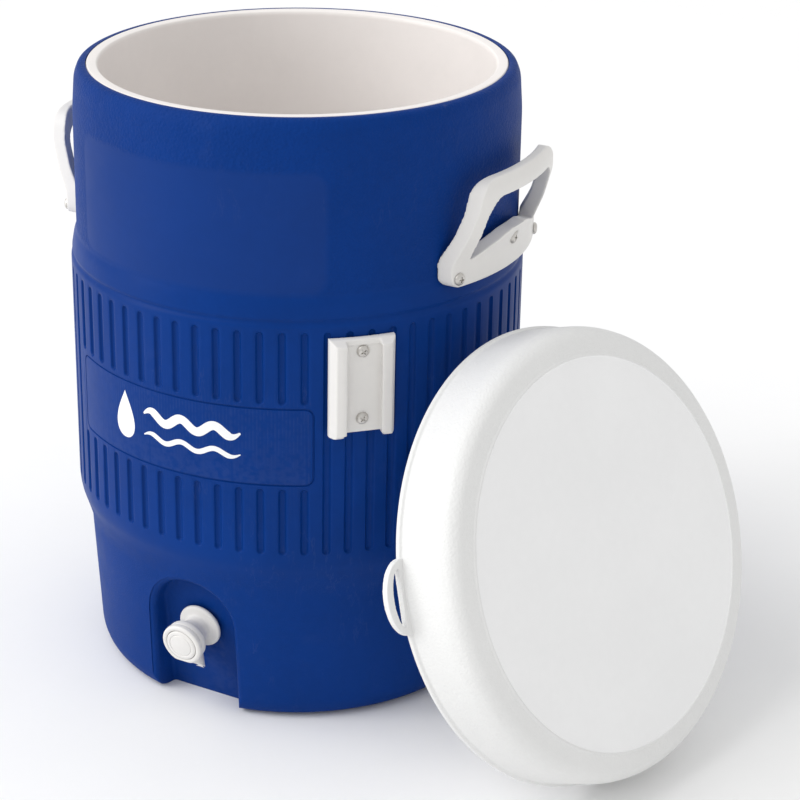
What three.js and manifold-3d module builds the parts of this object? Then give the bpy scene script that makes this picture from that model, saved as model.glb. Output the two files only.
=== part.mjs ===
// Insulated beverage dispenser: a round foam-filled jug with a push-button spigot in a
// recess at its base, two screwed-on loop handles, a cup-dispenser bracket and a lift-off
// seat-top lid that stands on the floor and leans against the jug.
// Millimetres, +Z up, origin at the centre of the base, spigot towards -Y.
import * as THREE from 'three';
import { mergeVertices } from 'three/addons/utils/BufferGeometryUtils.js';
import Module from 'manifold-3d';

const wasm = await Module();
wasm.setup();

// ---------------------------------------------------------------- driving dimensions
const GAP = 0.3; // clearance between pieces that touch
const WALL = 3; // moulded wall of shell, liner and lid

const JUG_H = 452; // base to the top of the shell
const R_UPPER = 160.8; // body above the band
const R_BAND = R_UPPER + 5.2; // proud ribbed band
const R_LOWER = R_UPPER - 2.9; // body just below the band
const R_BASE = R_UPPER - 7.9; // body just above the rounded base edge
const BAND_Z0 = 138;
const BAND_Z1 = 313;
const R_MOUTH = R_UPPER - 19.8; // opening of the liner
const LIP_W = 8.4; // liner lip that covers the foam

const GROOVES = 68; // columns of grooves round the band
const ROUND = GROOVES; // facets round the jug: one to each groove
const FOAM_ROUND = GROOVES / 2;
const FOAM_SLACK = 0.6; // extra clearance that the coarser foam facets need
const GROOVE_W = 5;
const GROOVE_DEPTH = 2;
const GROOVE_Z0 = BAND_Z0 + 4;
const GROOVE_Z1 = BAND_Z1 - 5;
const LABEL_AZ = -1.5; // centre of the plain label panel, degrees from -Y towards +X
const LABEL_HALF = 37;
const LABEL_Z0 = 196;
const LABEL_Z1 = 256;

const TILT = 8; // the recess floor and the spigot look this far down, degrees
const SPIGOT_Z = 62;
const SPIGOT_Y = 23.3 - R_UPPER; // recess floor at the spigot
const RECESS_HALF = 36;
const RECESS_TOP = 10; // centre of the recess arch above the spigot axis
const RECESS_DRAFT = 0.88; // floor outline over mouth outline

const HANDLE_Z = 328; // underside of the handle plates
const HANDLE_PLATE = 11; // plate thickness over the body
const SCREW_R = 2;
const SCREW_HEAD_R = 4.4;
const SCREW_LEN = 14; // shank that goes beyond the screwed piece

const BRACKET_AZ = 45;
const BRACKET_W = 46;
const BRACKET_Z0 = 236;
const BRACKET_Z1 = 304.5;

const LID_R = R_UPPER - 2.3; // lip
const LID_T = 48; // lip to seat
const PLUG_R = R_MOUTH - 3.5; // plug at the lip
const PLUG_TIP = PLUG_R - 27.5; // plug at its flat end
const PLUG_DEPTH = 50;
const PLUG_BEVEL = 6;
const LID_AZ = 76;
const LOOP_AT = 170.5; // finger loop round the lip, degrees
const LOOP_REACH = 14.4; // beyond the lip
const LOOP_HALF = 25;
const LOOP_RING = 6;
const LOOP_T = 4.6;
const LID_LEAN = 21.5; // how far the seat face looks up, degrees
const LID_REST_GAP = 0.5;

const PRESS = 4; // travel of the spigot button

// ---------------------------------------------------------------- materials
const plastic = (color, roughness) => new THREE.MeshStandardMaterial({ color, roughness, metalness: 0 });
const BLUE = plastic(0x1c3f8c, 0.45);
const LINER = plastic(0xd9d6d2, 0.4);
const WHITE = plastic(0xeceae6, 0.45);
const LID_WHITE = plastic(0xf1f0ee, 0.5);
const FOAM = plastic(0xe8d9a8, 0.95);
const RUBBER = plastic(0x3a3a3c, 0.8);
const STEEL = new THREE.MeshStandardMaterial({ color: 0xb5b2ac, roughness: 0.3, metalness: 1 });

// ---------------------------------------------------------------- geometry helpers
const rad = THREE.MathUtils.degToRad;

/** A manifold solid from a three.js geometry. */
function solid(geometry) {
  const bare = geometry.clone();
  bare.deleteAttribute('normal');
  bare.deleteAttribute('uv');
  const merged = mergeVertices(bare, 1e-4);
  const index = merged.index.array;
  const tris = [];
  for (let i = 0; i < index.length; i += 3) {
    const [a, b, c] = [index[i], index[i + 1], index[i + 2]];
    if (a !== b && b !== c && c !== a) tris.push(a, b, c);
  }
  const vertProperties = new Float32Array(merged.attributes.position.array);
  const mesh = new wasm.Mesh({ numProp: 3, vertProperties, triVerts: new Uint32Array(tris) });
  return new wasm.Manifold(mesh);
}

/** A named three.js mesh from a manifold solid. */
function node(name, body, material) {
  const data = body.getMesh();
  const geometry = new THREE.BufferGeometry();
  geometry.setAttribute('position', new THREE.BufferAttribute(new Float32Array(data.vertProperties), 3));
  geometry.setIndex(new THREE.BufferAttribute(new Uint32Array(data.triVerts), 1));
  geometry.computeVertexNormals();
  const mesh = new THREE.Mesh(geometry, material);
  mesh.name = name;
  return mesh;
}

/** A solid of revolution about Z from a closed (radius, height) outline, with a flat facing -Y. */
function lathe(outline, segments = ROUND) {
  const area = outline.reduce((sum, [r, z], i) => {
    const [r2, z2] = outline[(i + 1) % outline.length];
    return sum + r * z2 - r2 * z;
  }, 0);
  const ordered = area > 0 ? outline : [...outline].reverse();
  const points = [...ordered, ordered[0]].map(([r, z]) => new THREE.Vector2(r, z));
  const geometry = new THREE.LatheGeometry(points, segments, Math.PI / segments);
  geometry.rotateX(Math.PI / 2);
  return solid(geometry);
}

/** A prism: a polygon in XY raised along Z. */
function prism(polygon, height) {
  const shape = new THREE.Shape(polygon.map(([x, y]) => new THREE.Vector2(x, y)));
  return solid(new THREE.ExtrudeGeometry(shape, { depth: height, bevelEnabled: false, curveSegments: 1 }));
}

/** A cylinder along Z from z0 to z1. */
function rod(radius, z0, z1, segments = 24, topRadius = radius) {
  const geometry = new THREE.CylinderGeometry(topRadius, radius, z1 - z0, segments);
  geometry.rotateX(Math.PI / 2);
  geometry.translate(0, 0, (z0 + z1) / 2);
  return solid(geometry);
}

/** A box from its low corner to its high corner. */
function box([x0, y0, z0], [x1, y1, z1]) {
  const geometry = new THREE.BoxGeometry(x1 - x0, y1 - y0, z1 - z0);
  geometry.translate((x0 + x1) / 2, (y0 + y1) / 2, (z0 + z1) / 2);
  return solid(geometry);
}

/** The same solid with its local +Z along the outward radial direction at an azimuth. */
function radial(body, azimuth, height) {
  return body.rotate([90, 0, azimuth]).translate([0, 0, height]);
}

// ---------------------------------------------------------------- body outlines
const outerOutline = [
  [0, 0],
  [R_BASE - 12, 0],
  [R_BASE - 3.4, 3.5],
  [R_BASE, 12],
  [R_LOWER, BAND_Z0 - 31],
  [R_BAND - 4.8, BAND_Z0 - 19.5],
  [R_BAND - 0.8, BAND_Z0 - 7],
  [R_BAND, BAND_Z0 + 1],
  [R_BAND - 0.7, BAND_Z1 - 1],
  [R_BAND - 2.6, BAND_Z1 + 2],
  [R_BAND - 1.4, BAND_Z1 + 4.5],
  [R_BAND - 3.2, BAND_Z1 + 14.5],
  [R_UPPER, BAND_Z1 + 20],
  [R_UPPER - 0.6, JUG_H - 32],
  [R_UPPER - 2.5, JUG_H - 8],
  [R_UPPER - 5.2, JUG_H - 1.6],
  [R_UPPER - 8, JUG_H],
  [0, JUG_H],
];

/** The body outline moved inwards by a distance, for the cavity and for the foam. */
function insetOutline(distance) {
  return [
    [0, distance],
    [R_BASE - 13, distance],
    [R_BASE - distance, 13],
    [R_LOWER - distance, BAND_Z0 - 30],
    [R_BAND - distance, BAND_Z0 - 4],
    [R_BAND - 0.8 - distance, BAND_Z1 - 1],
    [R_UPPER - distance, BAND_Z1 + 17],
    [R_UPPER - 0.6 - distance, JUG_H - 32],
    [R_UPPER - 5 - distance, JUG_H - WALL - 3.5],
    [0, JUG_H - WALL - 3.5],
  ];
}

const LINER_FLOOR = 42;
const R_LINER_LOW = R_MOUTH - 23;
const R_LINER_PLUG = R_MOUTH - 1.8; // where the lid's plug ends
const linerInside = [
  [0, LINER_FLOOR],
  [R_LINER_LOW - 18, LINER_FLOOR],
  [R_LINER_LOW - 5, LINER_FLOOR + 5],
  [R_LINER_LOW, LINER_FLOOR + 22],
  [R_LINER_PLUG, JUG_H - 40],
  [R_MOUTH, JUG_H - 2.4],
];
/** The liner's outer face, a distance beyond its wall. */
function linerOutside(extra) {
  const out = WALL + extra;
  return [
    [R_MOUTH + out, JUG_H - WALL - 1.5],
    [R_LINER_PLUG + out, JUG_H - 40],
    [R_LINER_LOW + out, LINER_FLOOR + 22],
    [R_LINER_LOW - 5 + out, LINER_FLOOR + 3.5 - extra],
    [R_LINER_LOW - 16, LINER_FLOOR - out],
    [0, LINER_FLOOR - out],
  ];
}

// ---------------------------------------------------------------- spigot frame
// Spigot pieces are drawn along local +Z, which is the way out of the recess floor.
const atSpigot = (body) => body.rotate([90 + TILT, 0, 0]).translate([0, SPIGOT_Y, SPIGOT_Z]);

/** The recess as a solid: an arch that narrows towards its floor; grown for the wall behind it. */
function recess(grow) {
  const steps = 12;
  const half = RECESS_HALF + grow;
  const arch = [];
  for (let i = 0; i <= steps; i += 1) {
    const a = (Math.PI * i) / steps;
    arch.push([half * Math.cos(a), RECESS_TOP + half * Math.sin(a)]);
  }
  arch.push([-half, -SPIGOT_Z - 40], [half, -SPIGOT_Z - 40]);
  const depth = 60;
  const shape = new THREE.Shape(arch.map(([x, y]) => new THREE.Vector2(x, y)));
  const geometry = new THREE.ExtrudeGeometry(shape, { depth, bevelEnabled: false, curveSegments: 1 });
  const p = geometry.attributes.position;
  const reach = 27; // distance over which the draft acts
  for (let i = 0; i < p.count; i += 1) {
    const scale = p.getZ(i) < 1 ? RECESS_DRAFT : RECESS_DRAFT + ((1 - RECESS_DRAFT) * depth) / reach;
    p.setX(i, p.getX(i) * scale);
    if (p.getY(i) > RECESS_TOP) p.setY(i, RECESS_TOP + (p.getY(i) - RECESS_TOP) * scale);
  }
  geometry.translate(0, 0, -grow);
  return atSpigot(solid(geometry));
}

// Positions along the spigot, measured out of the recess floor.
const FLANGE = [WALL - 0.4, WALL + 2.6];
const R_SPIGOT = 15.5; // head
const R_SHANK = R_SPIGOT - 6.5;
const R_FLANGE = R_SPIGOT + 1.5;
const PAD_IN = R_UPPER - R_LINER_LOW - 67.3; // inner face of the liner's pad
const SHANK_IN = PAD_IN - 15;
const PAD_R = R_SPIGOT + 5.5;
const HEAD_TOP = 26;
const SEAT = [HEAD_TOP - 20, HEAD_TOP - 18];
const WEB = [HEAD_TOP - 5, HEAD_TOP - 3];
const BONNET_TOP = HEAD_TOP + 4.5;
const SPOUT_AT = HEAD_TOP - 9;
const R_SPOUT = 7.2;
const SPOUT_END = 33.5;

// ---------------------------------------------------------------- fasteners
const HANDLE_SCREWS = [
  { turn: -20.6, z: HANDLE_Z + 6.5 },
  { turn: 0, z: HANDLE_Z + 20 },
  { turn: 20.6, z: HANDLE_Z + 6.5 },
];
const R_PLATE = R_UPPER + GAP + HANDLE_PLATE;
const BRACKET_SCREWS = [BRACKET_Z0 + 10, BRACKET_Z1 - 9.5];
const BRACKET_FLOOR = R_BAND + 3.6; // channel floor, measured from the jug's axis

/** A pan-head screw with a cross recess, seated on local z = 0 and driven towards -z. */
function screwBody(length) {
  const profile = [
    [0, -length],
    [SCREW_R, -length + 2.5],
    [SCREW_R, 0.15],
    [SCREW_HEAD_R, 0.15],
    [SCREW_HEAD_R - 0.4, 1.4],
    [SCREW_HEAD_R - 1.8, 2.4],
    [0, 2.6],
  ];
  const slot = box([-2.1, -0.5, 1.3], [2.1, 0.5, 4]);
  return lathe(profile, 10).subtract(slot.add(slot.rotate([0, 0, 90])));
}

/** The clearance hole for a screw, from well outside to just beyond its point. */
const screwHole = (length) => rod(SCREW_R + GAP + 0.1, -length - 0.8, 6, 8);

/** Every screw hole in the jug, placed. */
function jugScrewHoles() {
  const holes = [];
  for (const side of [90, -90]) {
    for (const { turn, z } of HANDLE_SCREWS) {
      holes.push(radial(screwHole(HANDLE_PLATE + SCREW_LEN).translate([0, 0, R_PLATE]), side + turn, z));
    }
  }
  for (const z of BRACKET_SCREWS) {
    holes.push(radial(screwHole(SCREW_LEN).translate([0, 0, BRACKET_FLOOR]), BRACKET_AZ, z));
  }
  return holes;
}

// ---------------------------------------------------------------- jug
/** The slots of the ribbed band, split above and below the label panel. */
function grooveCutters() {
  const cutters = [];
  for (let k = 0; k < GROOVES; k += 1) {
    const azimuth = (360 * k) / GROOVES;
    const offset = Math.abs(((azimuth - LABEL_AZ + 540) % 360) - 180);
    const spans = offset < LABEL_HALF
      ? [[GROOVE_Z0, LABEL_Z0 - 4], [LABEL_Z1, GROOVE_Z1]]
      : [[GROOVE_Z0, GROOVE_Z1]];
    for (const [z0, z1] of spans) {
      const inner = R_BAND - GROOVE_DEPTH;
      const slot = box([-GROOVE_W / 2, -inner - 6, z0], [GROOVE_W / 2, -inner, z1]);
      cutters.push(slot.rotate([0, 0, azimuth]));
    }
  }
  return cutters;
}

const FILL_PLUG = { x: 62, y: 48, r: 11 };

function buildShell() {
  const holes = [
    rod(R_MOUTH + WALL + GAP + 1, JUG_H - 20, JUG_H + 1, ROUND),
    rod(R_MOUTH + LIP_W + GAP, JUG_H - WALL - GAP, JUG_H + 1, ROUND),
    atSpigot(rod(R_SHANK + GAP, -WALL - 1, 1)),
    rod(FILL_PLUG.r - 3, -1, WALL + 1).translate([FILL_PLUG.x, FILL_PLUG.y, 0]),
    rod(FILL_PLUG.r, -1, 1.6).translate([FILL_PLUG.x, FILL_PLUG.y, 0]),
    ...jugScrewHoles(),
    ...grooveCutters(),
  ];
  const skin = lathe(outerOutline).subtract(recess(0));
  const cavity = lathe(insetOutline(WALL)).subtract(recess(WALL));
  return skin.subtract(cavity).subtract(wasm.Manifold.union(holes));
}

function buildLiner() {
  const lip = [
    [R_MOUTH + 0.9, JUG_H - 0.2],
    [R_MOUTH + LIP_W - 0.8, JUG_H + 0.2],
    [R_MOUTH + LIP_W, JUG_H - 0.6],
    [R_MOUTH + LIP_W, JUG_H - WALL],
    [R_MOUTH + WALL, JUG_H - WALL],
  ];
  const shape = lathe([...linerInside, ...lip, ...linerOutside(0)]);
  const pad = atSpigot(rod(PAD_R, PAD_IN, PAD_IN + 9, 36));
  const inside = lathe([...linerInside, [0, JUG_H]]);
  const padded = shape.add(pad.subtract(lathe([[0, 0], [60, 0], [60, 120], [0, 120]], 12)));
  return padded.subtract(atSpigot(rod(R_SHANK + GAP, PAD_IN - 12, 2)));
}

function buildFoam() {
  const extra = GAP + FOAM_SLACK;
  const hollow = [...linerOutside(extra), [0, JUG_H + 5], [R_MOUTH + WALL + extra, JUG_H + 5]];
  const body = lathe(insetOutline(WALL + GAP), FOAM_ROUND)
    .subtract(lathe(hollow, FOAM_ROUND))
    .subtract(rod(R_UPPER, JUG_H - WALL - 3.5 - GAP, JUG_H, 12));
  const cuts = [
    recess(WALL + GAP),
    atSpigot(rod(R_SHANK + GAP + 0.3, SHANK_IN, 2)),
    atSpigot(rod(PAD_R + GAP, -60, PAD_IN + 9 + GAP, 36)),
    rod(FILL_PLUG.r - 3, 0, 12).translate([FILL_PLUG.x, FILL_PLUG.y, 0]),
    ...jugScrewHoles(),
  ];
  return body.subtract(wasm.Manifold.union(cuts));
}

function buildFillPlug() {
  const { x, y, r } = FILL_PLUG;
  const profile = [[0, 0.3], [r - GAP, 0.3], [r - GAP, 1.3], [r - 3 - GAP, 1.3], [r - 3.8, 9], [0, 9]];
  return lathe(profile, 24).translate([x, y, 0]);
}

// ---------------------------------------------------------------- handles
/** One loop handle on the +X side: a front outline cut out of a turned, outward-leaning section. */
function buildHandle() {
  const mirrorY = (half) => [...half, ...[...half].reverse().map(([y, z]) => [-y, z])];
  const outer = mirrorY([
    [60, HANDLE_Z],
    [64.5, HANDLE_Z + 2],
    [66.5, HANDLE_Z + 6.5],
    [66.5, HANDLE_Z + 15],
    [58.5, HANDLE_Z + 58],
    [56, HANDLE_Z + 66.5],
    [50.5, HANDLE_Z + 72.5],
    [42, HANDLE_Z + 75],
  ]);
  const opening = mirrorY([
    [13, HANDLE_Z + 30.5],
    [52, HANDLE_Z + 17.5],
    [48.5, HANDLE_Z + 50],
    [45, HANDLE_Z + 57],
    [38, HANDLE_Z + 61.5],
  ]);
  const front = [
    [R_PLATE, HANDLE_Z - 1],
    [R_PLATE, HANDLE_Z + 17],
    [R_PLATE + 7.4, HANDLE_Z + 36],
    [R_PLATE + 12.2, HANDLE_Z + 55],
    [R_PLATE + 12.4, HANDLE_Z + 68],
    [R_PLATE + 9, HANDLE_Z + 76],
  ];
  const back = [
    [R_PLATE + 2.6, HANDLE_Z + 76],
    [R_PLATE + 1.4, HANDLE_Z + 70],
    [R_PLATE + 1.2, HANDLE_Z + 53],
    [R_PLATE - 3.2, HANDLE_Z + 36],
    [R_UPPER + GAP, HANDLE_Z + 19],
    [R_UPPER + GAP, HANDLE_Z - 1],
  ];
  const band = lathe([...front, ...back]);
  const along = (polygon) => prism(polygon, 80).rotate([90, 0, 90]).translate([R_UPPER - 40.8, 0, 0]);
  const wall = lathe([
    [0, BAND_Z1],
    ...outerOutline.filter(([r, z]) => r > R_UPPER - 1 && z > BAND_Z1 + 4).map(([r, z]) => [r + GAP, z]),
    [0, JUG_H - 32],
  ]);
  let handle = band.intersect(along(outer)).subtract(along(opening)).subtract(wall);
  for (const { turn, z } of HANDLE_SCREWS) {
    const seat = rod(SCREW_HEAD_R + GAP + 0.5, 0, 8, 16);
    const hole = screwHole(HANDLE_PLATE + SCREW_LEN).add(seat).translate([0, 0, R_PLATE]);
    handle = handle.subtract(radial(hole, 90 + turn, z));
  }
  return handle;
}

// ---------------------------------------------------------------- cup-dispenser bracket
/** The bracket in its own frame: X across, Y out of the jug from its axis, Z up. */
function buildBracket() {
  const w = BRACKET_W / 2;
  const out = R_BAND - 3;
  const face = BRACKET_FLOOR + 6.4;
  const across = [
    [-w, out],
    [w, out],
    [w, BRACKET_FLOOR - 0.6],
    [w - 3.5, face - 1],
    [w - 8, face],
    [8 - w, face],
    [3.5 - w, face - 1],
    [-w, BRACKET_FLOOR - 0.6],
  ];
  const upright = [
    [out, BRACKET_Z0 - 2.5],
    [face - 2.5, BRACKET_Z0 - 2.5],
    [face, BRACKET_Z0 + 0.5],
    [face, BRACKET_Z1 - 4],
    [BRACKET_FLOOR - 0.6, BRACKET_Z1],
    [out, BRACKET_Z1],
  ];
  const tall = prism(across, 90).translate([0, 0, BRACKET_Z0 - 10]);
  const wide = prism(upright, BRACKET_W + 2).rotate([90, 0, 90]).translate([-w - 1, 0, 0]);
  const channel = prism([
    [9 - w, BRACKET_FLOOR],
    [w - 9, BRACKET_FLOOR],
    [w - 11, face + 1],
    [11 - w, face + 1],
  ], 90).translate([0, 0, BRACKET_Z1 - 4.6 - 90]);
  const notch = box([11 - w, BRACKET_FLOOR + 1.2, BRACKET_Z1 - 5], [w - 11, face + 1, BRACKET_Z1 + 1]);
  const foot = box([9 - w, out - 1, BRACKET_Z0 - 5], [w - 9, face + 1, BRACKET_Z0]);
  const backing = rod(R_BAND + GAP, BRACKET_Z0 - 10, BRACKET_Z1 + 10, ROUND * 2);
  let bracket = tall.intersect(wide).subtract(channel).subtract(notch).subtract(foot).subtract(backing);
  for (const z of BRACKET_SCREWS) {
    const hole = screwHole(SCREW_LEN).rotate([-90, 0, 0]).translate([0, BRACKET_FLOOR, z]);
    bracket = bracket.subtract(hole);
  }
  return bracket.rotate([0, 0, 180 + BRACKET_AZ]);
}

// ---------------------------------------------------------------- spigot
function buildSpigotBody() {
  const profile = [
    [0, SHANK_IN],
    [R_SHANK, SHANK_IN],
    [R_SHANK, FLANGE[0]],
    [R_FLANGE, FLANGE[0]],
    [R_FLANGE, FLANGE[1] - 1],
    [R_FLANGE - 1, FLANGE[1]],
    [R_SHANK + 1, FLANGE[1] + 0.5],
    [R_SHANK + 0.4, HEAD_TOP - 15],
    [R_SPIGOT - 2, HEAD_TOP - 7],
    [R_SPIGOT, HEAD_TOP - 5],
    [R_SPIGOT, HEAD_TOP],
    [0, HEAD_TOP],
  ];
  const spoutUp = [90, 0, 0];
  const spout = rod(R_SPOUT, 0, SPOUT_END, 18, R_SPOUT + 0.8).rotate(spoutUp).translate([0, 0, SPOUT_AT]);
  const spoutBore = rod(R_SPOUT - 1.8, 0, SPOUT_END + 2, 14).rotate(spoutUp).translate([0, 0, SPOUT_AT]);
  const mouth = box([-12, -20, 0], [12, 0, 30]).rotate([45, 0, 0]).translate([0, -18.5, SPOUT_AT + 6.6]);
  const ream = [
    rod(R_SHANK - 3, SHANK_IN - 1, SEAT[0] - 7, 16),
    rod(R_SHANK - 1.4, SEAT[0] - 8, SEAT[0], 16),
    rod(R_SHANK - 3.8, SEAT[0] - 1, SEAT[1] + 1, 16),
    rod(R_SHANK - 1.4, SEAT[1], WEB[0] - 7, 16),
    rod(R_SHANK - 1.4, WEB[0] - 7.1, WEB[0], 16, R_SPIGOT - 4),
    rod(2.8, WEB[0] - 1, WEB[1] + 1, 12),
    rod(R_SPIGOT - 3.2, WEB[1], HEAD_TOP + 1, 24),
  ];
  const hollow = wasm.Manifold.union([...ream, spoutBore]);
  return lathe(profile, 26).add(spout).subtract(hollow).subtract(mouth);
}

function buildBonnet() {
  const ring = lathe([
    [R_SPIGOT - 3.2, HEAD_TOP + GAP],
    [R_SPIGOT + 0.5, HEAD_TOP + GAP],
    [R_SPIGOT + 0.5, BONNET_TOP - 1],
    [R_SPIGOT - 0.7, BONNET_TOP],
    [R_SPIGOT - 2.6, BONNET_TOP],
    [R_SPIGOT - 3.2, BONNET_TOP - 0.6],
  ], 30);
  const flat = box([-20, -20, HEAD_TOP - 1], [20, 1.6 - R_SPIGOT, BONNET_TOP + 1]);
  return ring.subtract(flat);
}

const BUTTON_IN = WEB[1] + PRESS + GAP;
function buildButton() {
  const r = R_SPIGOT - 3.2 - GAP;
  const dome = lathe([
    [0, BUTTON_IN],
    [r, BUTTON_IN],
    [r, BONNET_TOP - 0.4],
    [r - 0.7, BONNET_TOP + 0.3],
    [r - 3, BONNET_TOP + 0.6],
    [0, BONNET_TOP + 0.9],
  ], 30);
  return dome.subtract(rod(2.5 + 0.2, BUTTON_IN - 1, BUTTON_IN + 2, 12));
}

const SEAL = [SEAT[0] - 3.4, SEAT[0] - GAP];
const buildStem = () => rod(2.5, SEAL[0] - 1.5, BUTTON_IN + 1.8, 12);
const buildSeal = () => rod(6.8, SEAL[0], SEAL[1], 20).subtract(rod(2.7, SEAL[0] - 1, SEAL[1] + 1, 12));

/** A helical return spring between the guide web and the button. */
function buildSpring() {
  const wire = 0.42;
  const turns = 2.4;
  const low = WEB[1] + GAP + wire;
  const high = BUTTON_IN - GAP - wire;
  class Helix extends THREE.Curve {
    getPoint(t, target = new THREE.Vector3()) {
      const a = t * turns * 2 * Math.PI;
      return target.set(7 * Math.cos(a), 7 * Math.sin(a), low + (high - low) * t);
    }
  }
  const ring = new THREE.Shape();
  ring.absarc(0, 0, wire, 0, 2 * Math.PI, false);
  const options = { steps: 34, curveSegments: 3, bevelEnabled: false, extrudePath: new Helix() };
  return solid(new THREE.ExtrudeGeometry(ring, options));
}

const buildOuterGasket = () => rod(R_SPIGOT - 1.5, GAP, FLANGE[0] - GAP, 28).subtract(rod(R_SHANK + GAP, -1, 4, 24));
const buildInnerGasket = () => rod(R_SPIGOT, PAD_IN - GAP - 2, PAD_IN - GAP, 28).subtract(rod(R_SHANK + GAP, SHANK_IN, 0, 24));
const NUT_IN = PAD_IN - 2 - 2 * GAP - 8;
function buildNut() {
  const hex = rod(R_SPIGOT + 1, NUT_IN, NUT_IN + 8, 6);
  return hex.subtract(rod(R_SHANK + GAP, NUT_IN - 1, NUT_IN + 9, 24));
}

// ---------------------------------------------------------------- lid
const LID_ROUND = 56;
const capOutside = [
  [LID_R, 0],
  [LID_R, 3],
  [LID_R - 1.8, 4.4],
  [LID_R - 3.2, LID_T - 14],
  [LID_R - 5.8, LID_T - 6.6],
  [LID_R - 11, LID_T - 2.2],
  [LID_R - 22.5, LID_T - 0.7],
  [LID_R - 23.3, LID_T],
  [LID_R - 24.5, LID_T],
  [LID_R - 25.3, LID_T - 0.9],
  [0, LID_T - 0.9],
];
const R_CAP_IN = LID_R - 5.4;

/** The lid's seat top and skirt with the finger loop on its lip. */
function buildCap() {
  const inside = [
    [0, LID_T - 0.9 - WALL],
    [LID_R - 17, LID_T - 1.9 - WALL],
    [R_CAP_IN - 1.4, LID_T - 16],
    [R_CAP_IN, 0],
  ];
  const cap = lathe([...capOutside, ...inside], LID_ROUND);
  const dLoop = (base, reach, half) => {
    const points = [];
    for (let i = 0; i <= 12; i += 1) {
      const a = (Math.PI * i) / 12 - Math.PI / 2;
      points.push([base + Math.cos(a) * reach, Math.sin(a) * half]);
    }
    return points;
  };
  const root = LID_R - 4.6;
  const outer = [...dLoop(LID_R - 2.6, LOOP_REACH + 2.6, LOOP_HALF), [root, LOOP_HALF], [root, -LOOP_HALF]];
  const opening = dLoop(LID_R + 0.8, LOOP_REACH - 0.8 - LOOP_RING, LOOP_HALF - LOOP_RING);
  const loop = prism(outer, LOOP_T).subtract(prism(opening, LOOP_T + 4).translate([0, 0, -2]));
  return cap.add(loop.rotate([0, 0, LOOP_AT]));
}

/** The lid's underside: a flat rim and the plug that enters the mouth. */
function buildPan() {
  const r = R_CAP_IN - GAP;
  return lathe([
    [r, 0.3],
    [r, WALL],
    [PLUG_R - WALL, WALL],
    [PLUG_TIP - WALL + 0.8, 7.5 - PLUG_DEPTH],
    [PLUG_TIP - WALL - 5.5, WALL - PLUG_DEPTH],
    [0, WALL - PLUG_DEPTH],
    [0, -PLUG_DEPTH],
    [PLUG_TIP - PLUG_BEVEL, -PLUG_DEPTH],
    [PLUG_TIP - 1.8, 1.6 - PLUG_DEPTH],
    [PLUG_TIP + 1.6, 6 - PLUG_DEPTH],
    [PLUG_R, 0.3],
  ], LID_ROUND);
}

function buildLidFoam() {
  return lathe([
    [0, WALL + GAP - PLUG_DEPTH],
    [PLUG_TIP - WALL - 5.9, WALL + GAP - PLUG_DEPTH],
    [PLUG_TIP - WALL + 0.2, 7.8 - PLUG_DEPTH],
    [PLUG_R - WALL - 0.6, WALL + GAP],
    [R_CAP_IN - 0.5, WALL + GAP],
    [R_CAP_IN - 1.8, LID_T - 16.3],
    [LID_R - 17.3, LID_T - 2.4 - WALL],
    [0, LID_T - 1.3 - WALL],
  ], LID_ROUND);
}

// ---------------------------------------------------------------- assembly
const dispenser = new THREE.Group();
dispenser.name = 'beverage_dispenser';

const jug = new THREE.Group();
jug.name = 'jug';
jug.add(node('outer_shell', buildShell(), BLUE));
jug.add(node('foam_core', buildFoam(), FOAM));
jug.add(node('inner_liner', buildLiner(), LINER));
jug.add(node('fill_plug', buildFillPlug(), BLUE));
dispenser.add(jug);

const handle = buildHandle();
for (const [side, azimuth] of [['right', 90], ['left', -90]]) {
  const group = new THREE.Group();
  group.name = `handle_${side}_group`;
  group.add(node(`handle_${side}`, azimuth > 0 ? handle : handle.rotate([0, 0, 180]), WHITE));
  HANDLE_SCREWS.forEach(({ turn, z }, i) => {
    const screw = screwBody(HANDLE_PLATE + SCREW_LEN).translate([0, 0, R_PLATE]);
    group.add(node(`handle_${side}_screw_${i + 1}`, radial(screw, azimuth + turn, z), STEEL));
  });
  dispenser.add(group);
}

const bracket = new THREE.Group();
bracket.name = 'bracket_group';
bracket.add(node('cup_bracket', buildBracket(), WHITE));
BRACKET_SCREWS.forEach((z, i) => {
  const screw = screwBody(SCREW_LEN).translate([0, 0, BRACKET_FLOOR]);
  bracket.add(node(`bracket_screw_${i + 1}`, radial(screw, BRACKET_AZ, z), STEEL));
});
dispenser.add(bracket);

const spigot = new THREE.Group();
spigot.name = 'spigot_group';
spigot.position.set(0, SPIGOT_Y, SPIGOT_Z);
spigot.rotation.x = rad(90 + TILT);
spigot.add(node('spigot_body', buildSpigotBody(), WHITE));
spigot.add(node('spigot_bonnet', buildBonnet(), WHITE));
spigot.add(node('spigot_button', buildButton(), WHITE));
spigot.add(node('spigot_stem', buildStem(), WHITE));
spigot.add(node('spigot_seal', buildSeal(), RUBBER));
spigot.add(node('spigot_spring', buildSpring(), STEEL));
spigot.add(node('spigot_outer_gasket', buildOuterGasket(), RUBBER));
spigot.add(node('spigot_inner_gasket', buildInnerGasket(), RUBBER));
spigot.add(node('spigot_nut', buildNut(), WHITE));
dispenser.add(spigot);

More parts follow.
